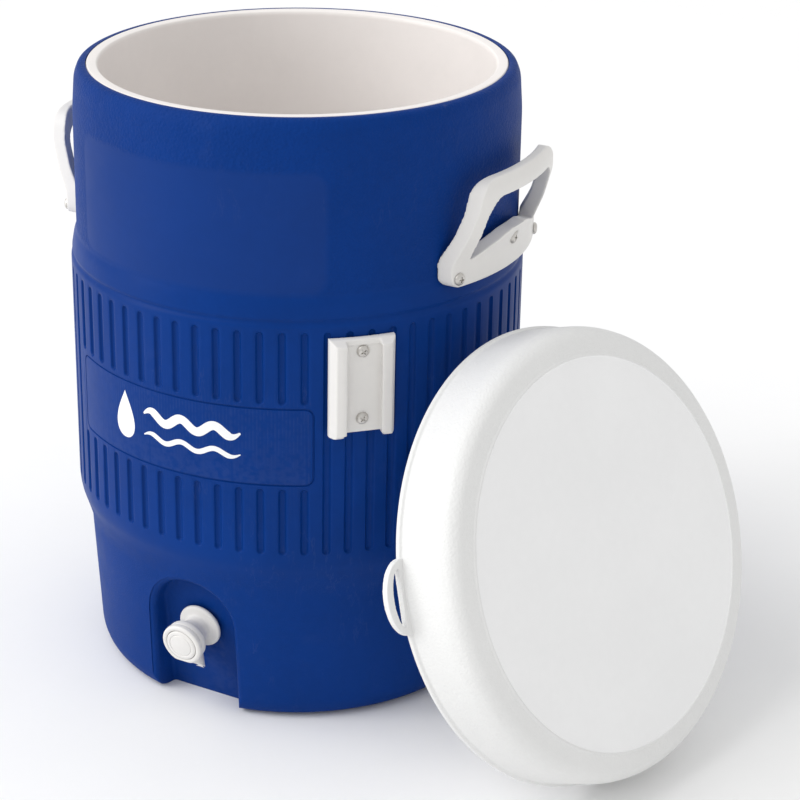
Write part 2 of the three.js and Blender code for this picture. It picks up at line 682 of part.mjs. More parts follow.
const lid = new THREE.Group();
lid.name = 'lid_group';
lid.add(node('lid_cap', buildCap(), LID_WHITE));
lid.add(node('lid_pan', buildPan(), LID_WHITE));
lid.add(node('lid_foam', buildLidFoam(), FOAM));
const lean = rad(LID_LEAN);
const plugEdge = PLUG_TIP - PLUG_BEVEL;
const lidDistance = R_BAND + LID_REST_GAP + PLUG_DEPTH * Math.cos(lean) + plugEdge * Math.sin(lean);
const azimuth = rad(LID_AZ);
const across = new THREE.Vector3(Math.cos(azimuth), Math.sin(azimuth), 0);
const normal = new THREE.Vector3(Math.cos(lean) * Math.sin(azimuth), -Math.cos(lean) * Math.cos(azimuth), Math.sin(lean));
const upSlope = new THREE.Vector3().crossVectors(normal, across);
lid.quaternion.setFromRotationMatrix(new THREE.Matrix4().makeBasis(across, upSlope, normal));
lid.position.set(lidDistance * Math.sin(azimuth), -lidDistance * Math.cos(azimuth), LID_R * Math.cos(lean));
dispenser.add(lid);

export default dispenser;
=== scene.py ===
"""The looks of an insulated beverage dispenser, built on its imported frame.

Sizes in the classes are millimetres in the frame's own coordinates: Z up, origin at the
centre of the base, spigot towards -Y. Azimuths are degrees from -Y towards +X. Meshes are
written in metres.
"""
import sys
import logging
import math
from collections.abc import Callable, Iterable, Sequence
from dataclasses import dataclass
from enum import Enum

import bmesh
import bpy
from mathutils import Matrix, Vector


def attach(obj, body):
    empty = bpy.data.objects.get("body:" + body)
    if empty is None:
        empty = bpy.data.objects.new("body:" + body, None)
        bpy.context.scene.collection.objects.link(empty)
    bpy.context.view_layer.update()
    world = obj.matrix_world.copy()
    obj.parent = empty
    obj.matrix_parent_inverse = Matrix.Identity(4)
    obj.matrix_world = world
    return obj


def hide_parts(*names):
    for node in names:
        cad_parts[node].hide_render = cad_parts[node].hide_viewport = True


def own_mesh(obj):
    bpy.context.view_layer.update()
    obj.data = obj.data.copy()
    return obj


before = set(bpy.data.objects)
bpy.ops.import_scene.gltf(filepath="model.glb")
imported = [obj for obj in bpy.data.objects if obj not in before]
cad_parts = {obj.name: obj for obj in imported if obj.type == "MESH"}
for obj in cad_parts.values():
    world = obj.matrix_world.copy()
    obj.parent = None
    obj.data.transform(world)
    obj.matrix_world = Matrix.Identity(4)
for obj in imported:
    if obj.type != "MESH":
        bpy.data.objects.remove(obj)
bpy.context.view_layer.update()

LOG = logging.getLogger("dispenser")
MM = 0.001
GAP = 0.3
FACETS = 68  # facets of the frame's round walls
FLAT = math.cos(math.pi / FACETS)  # keeps a round wall inside a faceted one
R_BAND = 166.0
R_UPPER = 160.8
JUG_H = 452.0
HANDLE_LOW = 328.0  # underside of the handle plates
HANDLE_PLATE = 11.0
R_PLATE = R_UPPER + GAP + HANDLE_PLATE  # front of the handle plates
SCREW_TURN = 20.6  # degrees between the screws of a handle
SCREW_LOW = HANDLE_LOW + 6.5
SCREW_RISE = 13.5  # the middle screw over its neighbours
SCREW_HOLE = 2.4
SPIGOT_SHANK = 9.0
PAD_IN = -24.5  # inner face of the liner's boss behind the spigot
PAD_RADIUS = 21.0
PAD_DEPTH = 9.0

Outline = Sequence[tuple[float, float]]
Colour = tuple[float, float, float]
Obj = bpy.types.Object
Tree = bpy.types.NodeTree
Socket = bpy.types.NodeSocket
Material = bpy.types.Material


class Slot(Enum):
    """The record's material slots."""

    SHELL = "shell_blue"
    LINER = "liner_grey"
    TRIM = "trim_white"
    LID = "lid_white"
    RUBBER = "seal_rubber"
    STEEL = "screw_steel"


class Body(Enum):
    """The frame's moving bodies."""

    JUG = "jug"
    PRESS = "spigot_press"
    LID = "lid"


class Cut(Enum):
    """How one solid acts on another."""

    TAKE = "DIFFERENCE"
    JOIN = "UNION"
    KEEP = "INTERSECT"


# ---------------------------------------------------------------- outlines and meshes
def soft_corners(outline: Outline, reach: float, closed: bool = False, steps: int = 4) -> Outline:
    """Rounds the corners of an outline.

    Args:
        outline: the corners.
        reach: how far from a corner its curve starts.
        closed: whether the last point joins the first.
        steps: pieces in each curve.

    Returns:
        The rounded outline.
    """
    points = [Vector(p) for p in outline]
    made: list[tuple[float, float]] = []
    for i, corner in enumerate(points):
        if not closed and i in (0, len(points) - 1):
            made.append(tuple(corner))
            continue
        before, after = points[i - 1] - corner, points[(i + 1) % len(points)] - corner
        near = min(reach, 0.45 * before.length, 0.45 * after.length)
        start, end = corner + before.normalized() * near, corner + after.normalized() * near
        for k in range(steps + 1):
            t = k / steps
            made.append(tuple(start * (1 - t) ** 2 + corner * 2 * t * (1 - t) + end * t * t))
    return made


def from_rings(
    name: str, rings: Sequence[Sequence[Vector]], place: Matrix | None = None, loop: bool = False
) -> Obj:
    """A closed skin through rings of points.

    Args:
        name: the object's name.
        rings: rings of one count, or of a single point where the skin closes to a pole.
        place: where the skin goes, in millimetres.
        loop: whether the last ring joins the first.

    Returns:
        The new object, its faces outwards.
    """
    bm = bmesh.new()
    put = place or Matrix.Identity(4)
    made = [[bm.verts.new((put @ Vector(p)) * MM) for p in ring] for ring in rings]
    pairs = list(zip(made, made[1:])) + ([(made[-1], made[0])] if loop else [])
    for low, high in pairs:
        count = max(len(low), len(high))
        if count == 1:
            continue
        for i in range(count):
            j = (i + 1) % count
            quad = [low[i % len(low)], low[j % len(low)], high[j % len(high)], high[i % len(high)]]
            bm.faces.new(list(dict.fromkeys(quad)))
    if not loop:
        for ring in (made[0], made[-1]):
            if len(ring) > 2:
                bm.faces.new(ring)
    bmesh.ops.recalc_face_normals(bm, faces=bm.faces)
    return from_bmesh(name, bm)


def from_bmesh(name: str, bm: bmesh.types.BMesh) -> Obj:
    """Links a new object that holds a bmesh, which is freed."""
    mesh = bpy.data.meshes.new(name)
    bm.to_mesh(mesh)
    bm.free()
    made = bpy.data.objects.new(name, mesh)
    bpy.context.scene.collection.objects.link(made)
    return made


def lathe(
    name: str, outline: Outline, segments: int, place: Matrix | None = None, squeeze: float = 1.0
) -> Obj:
    """Turns a closed (radius, height) outline about Z.

    Args:
        name: the object's name.
        outline: the section; points on the axis become poles.
        segments: steps round the axis.
        place: where the solid goes.
        squeeze: factor on every radius.

    Returns:
        The solid.
    """
    turns = [2 * math.pi * k / segments for k in range(segments)]
    rings = []
    for r, z in outline:
        reach = r * squeeze
        on_axis = abs(r) < 1e-6
        round_ring = [Vector((reach * math.sin(a), -reach * math.cos(a), z)) for a in turns]
        rings.append([Vector((0, 0, z))] if on_axis else round_ring)
    ends_on_axis = len(rings[0]) == 1 and len(rings[-1]) == 1
    return from_rings(name, rings, place, loop=not ends_on_axis)


def prism(name: str, outline: Outline, low: float, high: float, place: Matrix | None = None) -> Obj:
    """Raises a closed outline along local Z from low to high."""
    rings = [[Vector((x, y, z)) for x, y in outline] for z in (low, high)]
    return from_rings(name, rings, place)


def rod(
    name: str,
    radius: float,
    low: float,
    high: float,
    segments: int = 48,
    place: Matrix | None = None,
    top: float | None = None,
) -> Obj:
    """A round bar or cone along local Z."""
    upper = radius if top is None else top
    return lathe(name, [(0, low), (radius, low), (upper, high), (0, high)], segments, place)


def settle(obj: Obj) -> Obj:
    """Turns an object's modifiers into plain mesh."""
    graph = bpy.context.evaluated_depsgraph_get()
    mesh = bpy.data.meshes.new_from_object(obj.evaluated_get(graph), depsgraph=graph)
    old = obj.data
    obj.modifiers.clear()
    obj.data = mesh
    mesh.name = obj.name
    bpy.data.meshes.remove(old)
    return obj


def drop(obj: Obj) -> None:
    """Removes an object and its mesh."""
    mesh = obj.data
    bpy.data.objects.remove(obj)
    bpy.data.meshes.remove(mesh)


def carve(target: Obj, tools: Iterable[Obj], cut: Cut = Cut.TAKE) -> Obj:
    """Applies solids to a target one after another, and removes them.

    Args:
        target: the solid that changes.
        tools: the solids that act on it.
        cut: how they act.

    Returns:
        The target.
    """
    for tool in tools:
        step = target.modifiers.new("carve", "BOOLEAN")
        step.operation = cut.value
        step.solver = "MANIFOLD"
        step.object = tool
        before = len(target.data.vertices)
        settle(target)
        if len(target.data.vertices) == 0:
            raise RuntimeError(
                f"{target.name} vanished when {tool.name} was applied to {before} points"
            )
        drop(tool)
    return target


def soften(obj: Obj, voxel: float, rounds: int) -> Obj:
    """Rounds every edge of a solid as a mould does.

    Args:
        obj: the solid.
        voxel: mesh size afterwards.
        rounds: passes of smoothing.

    Returns:
        The same object.
    """
    remesh = obj.modifiers.new("remesh", "REMESH")
    remesh.mode = "VOXEL"
    remesh.voxel_size = voxel * MM * 1.0
    smooth = obj.modifiers.new("smooth", "SMOOTH")
    smooth.factor = 0.5
    smooth.iterations = rounds
    return settle(obj)


def bevel(obj: Obj, width: float, segments: int = 3) -> Obj:
    """Bevels the sharp edges of a solid."""
    edge = obj.modifiers.new("bevel", "BEVEL")
    edge.width = width * MM
    edge.segments = segments
    edge.limit_method = "ANGLE"
    edge.angle_limit = math.radians(35)
    return settle(obj)


def shade(obj: Obj, crease: float = 40.0) -> None:
    """Smooth shading with creases sharper than an angle kept."""
    obj.data.shade_smooth()
    obj.data.set_sharp_from_angle(angle=math.radians(crease))


def at(x: float, y: float, z: float, turn_x: float = 0.0, turn_z: float = 0.0) -> Matrix:
    """A place: turned about X, then about Z, then moved."""
    spin = Matrix.Rotation(
        math.radians(turn_z), 4, "Z"
    ) @ Matrix.Rotation(math.radians(turn_x), 4, "X")
    return Matrix.Translation((x, y, z)) @ spin


# ---------------------------------------------------------------- node trees
class Graph:
    """Adds nodes to a tree and wires them."""

    def __init__(self, tree: Tree) -> None:
        """Keeps the tree."""
        self.tree = tree

    def feed(self, socket: Socket, value: object) -> None:
        """Links a socket to another, or sets its value."""
        if isinstance(value, Socket):
            self.tree.links.new(value, socket)
        else:
            socket.default_value = value

    def add(self, kind: str, inputs: dict | None = None, **settings: object) -> bpy.types.Node:
        """Adds a node.

        Args:
            kind: the node's type name.
            inputs: values or sockets by input name or number.
            **settings: the node's own properties.

        Returns:
            The node.
        """
        node = self.tree.nodes.new(kind)
        for key, value in settings.items():
            setattr(node, key, value)
        for key, value in (inputs or {}).items():
            self.feed(node.inputs[key], value)
        return node

    def math(self, operation: str, a: object, b: object = 0.0, c: object = 0.0) -> Socket:
        """A Math node's result."""
        return self.add("ShaderNodeMath", {0: a, 1: b, 2: c}, operation=operation).outputs[0]

    def step(
        self, value: object, low: float, high: float, start: float = 0.0, end: float = 1.0
    ) -> Socket:
        """A smooth step from start to end as value goes from low to high."""
        inputs = {"Value": value, "From Min": low, "From Max": high, "To Min": start, "To Max": end}
        return self.add(
            "ShaderNodeMapRange", inputs, interpolation_type="SMOOTHSTEP"
        ).outputs["Result"]

    def times(self, *factors: object) -> Socket:
        """The product of values."""
        product = factors[0]
        for factor in factors[1:]:
            product = self.math("MULTIPLY", product, factor)
        return product

    def total(self, *terms: object) -> Socket:
        """The sum of values."""
        added = terms[0]
        for term in terms[1:]:
            added = self.math("ADD", added, term)
        return added

    def minus(self, a: object, b: object) -> Socket:
        """The difference of two values."""
        return self.math("SUBTRACT", a, b)

    def blend(self, factor: object, a: object, b: object) -> Socket:
        """A colour between a and b."""
        return self.add("ShaderNodeMix", {0: factor, 6: a, 7: b}, data_type="RGBA").outputs[2]

    def dot(self, vector: object, way: Sequence[float]) -> Socket:
        """How far a vector reaches along a direction."""
        node = self.add("ShaderNodeVectorMath", {0: vector, 1: tuple(way)}, operation="DOT_PRODUCT")
        return node.outputs["Value"]

    def noise(
        self, vector: object, scale: object, detail: float = 2.0, rough: float = 0.5
    ) -> Socket:
        """A noise value from 0 to 1."""
        inputs = {"Vector": vector, "Scale": scale, "Detail": detail, "Roughness": rough}
        return self.add("ShaderNodeTexNoise", inputs).outputs[0]


class Effects:
    """The shader groups that several finishes share, each made once."""

    def __init__(self) -> None:
        """Starts with no group made."""
        self.made: dict[str, Tree] = {}

    def _group(
        self, name: str, inputs: dict[str, float | None], outputs: Sequence[str], fill: Callable
    ) -> Tree:
        """Makes a group, or finds it.

        Args:
            name: the group's name.
            inputs: default by name; None makes a vector input.
            outputs: names of its float outputs.
            fill: builds the inside from (graph, inputs by name) and returns the outputs.

        Returns:
            The group.
        """
        if name in self.made:
            return self.made[name]
        tree = bpy.data.node_groups.new(name, "ShaderNodeTree")
        for key, value in inputs.items():
            kind = "NodeSocketVector" if value is None else "NodeSocketFloat"
            socket = tree.interface.new_socket(key, in_out="INPUT", socket_type=kind)
            if value is not None:
                socket.default_value = value
        for key in outputs:
            tree.interface.new_socket(key, in_out="OUTPUT", socket_type="NodeSocketFloat")
        graph = Graph(tree)
        ends = graph.add("NodeGroupInput").outputs
        results = fill(graph, {key: ends[key] for key in inputs})
        graph.add("NodeGroupOutput", dict(zip(outputs, results)))
        self.made[name] = tree
        return tree

    def pebble(self) -> Tree:
        """Moulded pebble grain: Height in millimetres from Cell and Depth in millimetres."""

        def fill(g: Graph, ends: dict) -> list:
            scale = g.math("DIVIDE", 1000.0, ends["Cell"])
            inputs = {"Vector": ends["Vector"], "Scale": scale, "Smoothness": 0.55}
            cells = g.add("ShaderNodeTexVoronoi", inputs, feature="SMOOTH_F1").outputs["Distance"]
            crumbs = g.noise(ends["Vector"], g.times(scale, 1.9), 3.0, 0.6)
            mounds = g.times(g.minus(1.0, cells), 0.8)
            return [g.times(g.total(mounds, g.times(crumbs, 0.9)), ends["Depth"])]

        return self._group(
            "pebble_grain", {"Vector": None, "Cell": 2.0, "Depth": 0.1}, ["Height"], fill
        )

    def tone(self) -> Tree:
        """Slow colour variation of moulded plastic: Tone from 0 to 1."""

        def fill(g: Graph, ends: dict) -> list:
            scale = g.math("DIVIDE", 1000.0, ends["Size"])
            broad = g.noise(ends["Vector"], scale, 3.0, 0.55)
            fine = g.noise(ends["Vector"], g.times(scale, 14.0), 2.0, 0.5)
            return [g.step(g.total(g.times(broad, 0.75), g.times(fine, 0.25)), 0.3, 0.7)]

        return self._group("moulded_tone", {"Vector": None, "Size": 90.0}, ["Tone"], fill)

    def marks(self) -> Tree:
        """Fine scratches and rubs of use: Mask from 0 to Amount."""

        def fill(g: Graph, ends: dict) -> list:
            stretched = g.add(
                "ShaderNodeVectorMath",
                {0: ends["Vector"], 1: (1.0, 1.0, 0.22)},
                operation="MULTIPLY",
            )
            lines = g.noise(stretched.outputs[0], 70.0, 4.0, 0.6)
            thin = g.step(g.math("ABSOLUTE", g.minus(lines, 0.5)), 0.0, 0.011, 1.0, 0.0)
            patch = g.step(g.noise(ends["Vector"], 16.0, 2.0), 0.5, 0.66)
            rub = g.times(g.step(g.noise(ends["Vector"], 34.0, 5.0, 0.7), 0.55, 0.75), 0.35)
            return [g.times(g.total(g.times(thin, patch), rub), ends["Amount"])]

        return self._group("handling_marks", {"Vector": None, "Amount": 0.3}, ["Mask"], fill)

    def edges(self) -> Tree:
        """Wear on raised edges: Mask from 0 to Amount."""

        def fill(g: Graph, ends: dict) -> list:
            point = g.add("ShaderNodeNewGeometry").outputs["Pointiness"]
            broken = g.step(g.noise(ends["Vector"], 220.0, 3.0), 0.3, 0.62)
            return [g.times(g.step(point, 0.52, 0.6), broken, ends["Amount"])]

        return self._group("edge_wear", {"Vector": None, "Amount": 0.3}, ["Mask"], fill)


EFFECTS = Effects()


def srgb(red: int, green: int, blue: int) -> Colour:
    """A display colour from 0 to 255 as linear values."""
    shares = (red / 255, green / 255, blue / 255)
    return tuple(c / 12.92 if c <= 0.04045 else ((c + 0.055) / 1.055) ** 2.4 for c in shares)


def opaque(colour: Colour, factor: float = 1.0) -> tuple[float, float, float, float]:
    """A colour for a socket, made lighter or darker by a factor."""
    return tuple(min(1.0, c * factor) for c in colour) + (1.0,)


@dataclass(frozen=True)
class Finish:
    """A moulded or metal surface: its colour, gloss, grain and wear."""

    name: str
    colour: Colour
    roughness: float = 0.4
    specular: float = 0.35
    metallic: float = 0.0
    cell: float = 1.2
    depth: float = 0.02
    variation: float = 0.05
    marks: float = 0.2
    edge: float = 0.0
    tone_size: float = 90.0
    slot: Slot | None = None

    def material(self) -> Material:
        """Builds the finish's material, or finds it."""
        known = bpy.data.materials.get(self.name)
        if known:
            return known
        made = bpy.data.materials.new(self.name)
        made.use_nodes = True
        made.node_tree.nodes.clear()
        graph = Graph(made.node_tree)
        shader = graph.add(
            "ShaderNodeBsdfPrincipled",
            {"Metallic": self.metallic, "Specular IOR Level": self.specular},
        )
        output = graph.add("ShaderNodeOutputMaterial")
        graph.tree.links.new(shader.outputs[0], output.inputs[0])
        place = graph.add("ShaderNodeTexCoord").outputs["Object"]
        colour, rough, height = self.surface(graph, place)
        bump = graph.add("ShaderNodeBump", {"Distance": MM, "Height": height})
        graph.feed(shader.inputs["Base Color"], colour)
        graph.feed(shader.inputs["Roughness"], rough)
        graph.feed(shader.inputs["Normal"], bump.outputs[0])
        return made

    def group(self, graph: Graph, tree: Tree, **inputs: object) -> Socket:
        """Places a shared effect and gives its first output."""
        node = graph.add("ShaderNodeGroup", node_tree=tree)
        for key, value in inputs.items():
            graph.feed(node.inputs[key], value)
        return node.outputs[0]

    def grain(self, graph: Graph, place: Socket, cell: float, depth: float) -> Socket:
        """The height of pebble grain of a cell size and depth."""
        return self.group(graph, EFFECTS.pebble(), Vector=place, Cell=cell, Depth=depth)

    def worn(self, graph: Graph, place: Socket) -> Socket:
        """Where use has marked the surface."""
        marks = self.group(graph, EFFECTS.marks(), Vector=place, Amount=self.marks)
        if not self.edge:
            return marks
        edges = self.group(graph, EFFECTS.edges(), Vector=place, Amount=self.edge)
        return graph.math("MAXIMUM", marks, edges)

    def tinted(self, graph: Graph, place: Socket, colour: Colour) -> Socket:
        """A colour with slow variation over the surface."""
        tone = self.group(graph, EFFECTS.tone(), Vector=place, Size=self.tone_size)
        return graph.blend(
            tone, opaque(colour, 1 - self.variation), opaque(colour, 1 + self.variation)
        )

    def surface(self, graph: Graph, place: Socket) -> tuple[object, object, object]:
        """Colour, roughness and height (mm) over the surface."""
        worn = self.worn(graph, place)
        lighter = opaque(tuple(c * 0.75 + 0.2 for c in self.colour))
        colour = graph.blend(worn, self.tinted(graph, place, self.colour), lighter)
        spread = graph.times(graph.minus(graph.noise(place, 45.0, 4.0), 0.5), 0.16)
        rough = graph.total(spread, graph.times(worn, 0.35), self.roughness)
        return colour, rough, self.grain(graph, place, self.cell, self.depth)


@dataclass(frozen=True)
class ShellFinish(Finish):
    """The blue shell: pebbled above, satin on the band, fine and matt below, with a painted sheen
    on the smooth panel.
    """

    panel_azimuth: float = 0.0
    panel_half: float = 37.0
    panel_low: float = 333.0
    panel_high: float = 417.0
    coarse: float = 0.5
    fine: float = 0.18

    def panel(self, graph: Graph, azimuth: object, z: object) -> Socket:
        """Mask of the smooth rounded panel on the upper wall, where the grain stops and a painted
        sheen pales the blue.
        """
        corner = 12.0
        turned = graph.math("ABSOLUTE", graph.minus(azimuth, math.radians(self.panel_azimuth)))
        half = math.radians(self.panel_half) * R_UPPER - corner
        across = graph.math("MAXIMUM", graph.minus(graph.times(turned, R_UPPER), half), 0.0)
        middle = (self.panel_low + self.panel_high) / 2
        tall = (self.panel_high - self.panel_low) / 2 - corner
        off = graph.math("ABSOLUTE", graph.minus(z, middle))
        up = graph.math("MAXIMUM", graph.minus(off, tall), 0.0)
        squares = graph.total(graph.times(across, across), graph.times(up, up))
        return graph.step(graph.math("SQRT", squares), corner - 3.0, corner + 3.0, 1.0, 0.0)

    def surface(self, graph: Graph, place: Socket) -> tuple[object, object, object]:
        """Colour, roughness and height with the shell's own regions, and the painted sheen on the
        panel.
        """
        axes = graph.add("ShaderNodeSeparateXYZ", {0: place}).outputs
        z = graph.times(axes[2], 1000.0)
        azimuth = graph.math("ARCTAN2", axes[0], graph.times(axes[1], -1.0))
        panel = self.panel(graph, azimuth, z)
        upper = graph.times(graph.step(z, 331.0, 336.0), graph.minus(1.0, panel))
        lower = graph.step(z, 116.0, 128.0, 1.0, 0.0)
        pebble = graph.times(self.grain(graph, place, 2.3, self.coarse), upper)
        matt = graph.times(self.grain(graph, place, 1.1, self.fine), lower)
        satin = self.grain(graph, place, 0.8, 0.008)
        colour, rough, _ = super().surface(graph, place)
        # painted sheen: the smooth panel's blue is paled towards white to stand for the broad
        # reflection on that smooth face
        panel_painted_sheen = opaque(tuple(c * 0.9 + 0.012 for c in self.colour))
        colour = graph.blend(graph.times(panel, 0.35), colour, panel_painted_sheen)
        rough = graph.total(
            rough, graph.times(upper, 0.12), graph.times(lower, 0.1), graph.times(panel, 0.04)
        )
        return colour, rough, graph.total(pebble, matt, satin)


@dataclass(frozen=True)
class LidFinish(Finish):
    """The lid: pebbled white skirt round a smooth, greyer seat disc."""

    centre: tuple[float, float, float] = (0.0, 0.0, 0.0)
    axis: tuple[float, float, float] = (0.0, 0.0, 1.0)
    disc_radius: float = 133.6
    disc_height: float = 46.0
    disc_colour: Colour = (0.7, 0.7, 0.7)

    def surface(self, graph: Graph, place: Socket) -> tuple[object, object, object]:
        """Colour, roughness and height of skirt and disc."""
        inputs = {0: place, 1: tuple(c * MM for c in self.centre)}
        local = graph.add("ShaderNodeVectorMath", inputs, operation="SUBTRACT").outputs[0]
        along = graph.dot(local, self.axis)
        length = graph.add("ShaderNodeVectorMath", {0: local}, operation="LENGTH").outputs["Value"]
        squares = graph.minus(graph.times(length, length), graph.times(along, along))
        radius = graph.math("SQRT", graph.math("MAXIMUM", squares, 0.0))
        inside = graph.step(
            radius, (self.disc_radius - 0.3) * MM, (self.disc_radius + 0.3) * MM, 1.0, 0.0
        )
        disc = graph.times(
            inside, graph.step(along, (self.disc_height - 1) * MM, self.disc_height * MM)
        )
        colour, rough, _ = super().surface(graph, place)
        colour = graph.blend(disc, colour, self.tinted(graph, place, self.disc_colour))
        skirt = graph.minus(1.0, disc)
        height = graph.times(self.grain(graph, place, self.cell, self.depth), skirt)
        leather = graph.times(self.grain(graph, place, 0.7, 0.006), disc)
        return colour, graph.total(rough, graph.times(disc, 0.08)), graph.total(height, leather)


@dataclass(frozen=True)
class FoamFinish(Finish):
    """Poured foam with open cells."""

    def surface(self, graph: Graph, place: Socket) -> tuple[object, object, object]:
        """Colour, roughness and height of foam."""
        cells = graph.add(
            "ShaderNodeTexVoronoi", {"Vector": place, "Scale": 420.0}
        ).outputs["Distance"]
        colour = graph.blend(
            cells, self.tinted(graph, place, self.colour), opaque(self.colour, 0.7)
        )
        return colour, graph.total(graph.times(cells, 0.1), self.roughness), graph.times(cells, 0.4)


BLUE = ShellFinish(
    "shell_blue_plastic", srgb(3, 51, 124), 0.42, 0.08, variation=0.07, marks=0.05, edge=0.12,
    slot=Slot.SHELL,
)
WHITE = Finish(
    "trim_white_plastic", srgb(228, 226, 223), 0.38, 0.3, cell=1.0, depth=0.015, variation=0.02,
    marks=0.05, slot=Slot.TRIM,
)
LINER = Finish(
    "liner_grey_plastic", srgb(238, 233, 230), 0.34, 0.3, cell=2.6, depth=0.012, variation=0.02,
    marks=0.06, slot=Slot.LINER,
)
PAN = Finish(
    "lid_underside_plastic", srgb(232, 231, 229), 0.4, 0.35, cell=1.6, depth=0.03, variation=0.02,
    marks=0.08, slot=Slot.LID,
)
RUBBER = Finish(
    "seal_rubber", srgb(52, 52, 55), 0.72, 0.3, cell=0.5, depth=0.02, variation=0.12, marks=0.15,
    slot=Slot.RUBBER,
)
STEEL = Finish(
    "screw_steel", srgb(128, 124, 118), 0.24, 0.5, 1.0, cell=0.4, depth=0.006, variation=0.1,
    marks=0.25, tone_size=6.0, slot=Slot.STEEL,
)
FOAM = FoamFinish("foam_fill", srgb(232, 217, 168), 0.88, 0.2, variation=0.08)
PAINT = Finish(
    "emblem_paint", srgb(240, 241, 242), 0.42, 0.3, cell=0.6, depth=0.01, variation=0.02, marks=0.1,
    slot=Slot.TRIM,
)


# ---------------------------------------------------------------- repeated shapes
class Repeats:
    """Geometry Nodes trees that set one shape out many times."""

    def __init__(self) -> None:
        """Starts with no tree made."""
        self.trees: dict[str, Tree] = {}

    def _tree(self, name: str, numbers: dict[str, str]) -> tuple[Tree, Graph, dict]:
        """A new tree with a shape input, number inputs and a geometry output."""
        tree = bpy.data.node_groups.new(name, "GeometryNodeTree")
        tree.interface.new_socket("Shape", in_out="INPUT", socket_type="NodeSocketGeometry")
        for key, kind in numbers.items():
            tree.interface.new_socket(key, in_out="INPUT", socket_type=kind)
        tree.interface.new_socket("Set out", in_out="OUTPUT", socket_type="NodeSocketGeometry")
        graph = Graph(tree)
        ends = graph.add("NodeGroupInput").outputs
        self.trees[name] = tree
        return tree, graph, {key: ends[key] for key in ["Shape", *numbers]}

    def _close(self, graph: Graph, instances: Socket, material: Material) -> None:
        """Ends a tree in Realize Instances and Set Material."""
        real = graph.add("GeometryNodeRealizeInstances", {0: instances}).outputs[0]
        dressed = graph.add(
            "GeometryNodeSetMaterial", {"Geometry": real, "Material": material}
        ).outputs[0]
        graph.add("NodeGroupOutput", {0: dressed})

    def columns(self) -> Tree:
        """Shapes that repeat round the Z axis."""
        name = "columns_round_the_axis"
        if name in self.trees:
            return self.trees[name]
        numbers = {"Count": "NodeSocketInt", "Start": "NodeSocketFloat", "Step": "NodeSocketFloat"}
        tree, g, ends = self._tree(name, numbers)
        points = g.add("GeometryNodePoints", {"Count": ends["Count"]}).outputs[0]
        index = g.add("GeometryNodeInputIndex").outputs[0]
        angle = g.total(g.times(index, ends["Step"]), ends["Start"])
        turn = g.add("ShaderNodeCombineXYZ", {2: angle}).outputs[0]
        inputs = {"Points": points, "Instance": ends["Shape"], "Rotation": turn}
        self._close(g, g.add("GeometryNodeInstanceOnPoints", inputs).outputs[0], BLUE.material())
        return tree

    def screws(self) -> Tree:
        """Screws in rows on a round wall, each driven to its own slot angle."""
        name = "screws_on_the_wall"
        if name in self.trees:
            return self.trees[name]
        floats = ["Radius", "First azimuth", "Row turn", "Screw turn", "Low", "Rise", "Climb"]
        numbers = {
            "Count": "NodeSocketInt",
            "In row": "NodeSocketInt",
            **{key: "NodeSocketFloat" for key in floats},
        }
        tree, g, ends = self._tree(name, numbers)
        points = g.add("GeometryNodePoints", {"Count": ends["Count"]}).outputs[0]
        index = g.add("GeometryNodeInputIndex").outputs[0]
        row = g.math("FLOOR", g.math("DIVIDE", index, ends["In row"]))
        place = g.minus(index, g.times(row, ends["In row"]))
        last = g.minus(ends["In row"], 1.0)
        centred = g.minus(place, g.math("DIVIDE", last, 2.0))
        swing = g.total(g.times(row, ends["Row turn"]), g.times(centred, ends["Screw turn"]))
        azimuth = g.total(ends["First azimuth"], swing)
        share = g.minus(1.0, g.math("ABSOLUTE", g.math("DIVIDE", g.times(centred, 2.0), last)))
        lift = g.total(g.times(share, ends["Rise"]), g.times(place, ends["Climb"]))
        across = g.times(g.math("SINE", azimuth), ends["Radius"])
        out = g.times(g.times(g.math("COSINE", azimuth), ends["Radius"]), -1.0)
        spot = g.add(
            "ShaderNodeCombineXYZ", {0: across, 1: out, 2: g.total(ends["Low"], lift)}
        ).outputs[0]
        seats = g.add("GeometryNodeSetPosition", {"Geometry": points, "Position": spot}).outputs[0]
        turn = g.add("ShaderNodeCombineXYZ", {0: math.pi / 2, 2: azimuth}).outputs[0]
        placed = g.add(
            "GeometryNodeInstanceOnPoints",
            {"Points": seats, "Instance": ends["Shape"], "Rotation": turn},
        ).outputs[0]
        driven = g.add("FunctionNodeRandomValue", data_type="FLOAT")
        for socket, value in (("Min", 0.0), ("Max", math.pi / 2), ("Seed", 11)):
            [s for s in driven.inputs if s.name == socket and s.enabled][0].default_value = value
        slot = [s for s in driven.outputs if s.enabled][0]
        roll = g.add("ShaderNodeCombineXYZ", {2: slot}).outputs[0]
        spun = g.add(
            "GeometryNodeRotateInstances",
            {"Instances": placed, "Rotation": roll, "Local Space": True},
        ).outputs[0]
        self._close(g, spun, STEEL.material())
        return tree

    def lay(self, name: str, shape: Obj, tree: Tree, values: dict[str, float]) -> Obj:
        """Runs a tree on a shape and keeps the plain mesh.

        Args:
            name: the result's name.
            shape: the shape that repeats, which is used up.
            tree: the node tree.
            values: its inputs by name.

        Returns:
            The mesh object.
        """
        shape.name = name
        runner = shape.modifiers.new("repeat", "NODES")
        runner.node_group = tree
        for item in tree.interface.items_tree:
            if item.in_out == "INPUT" and item.name in values:
                runner[item.identifier] = values[item.name]
        return settle(shape)


REPEATS = Repeats()


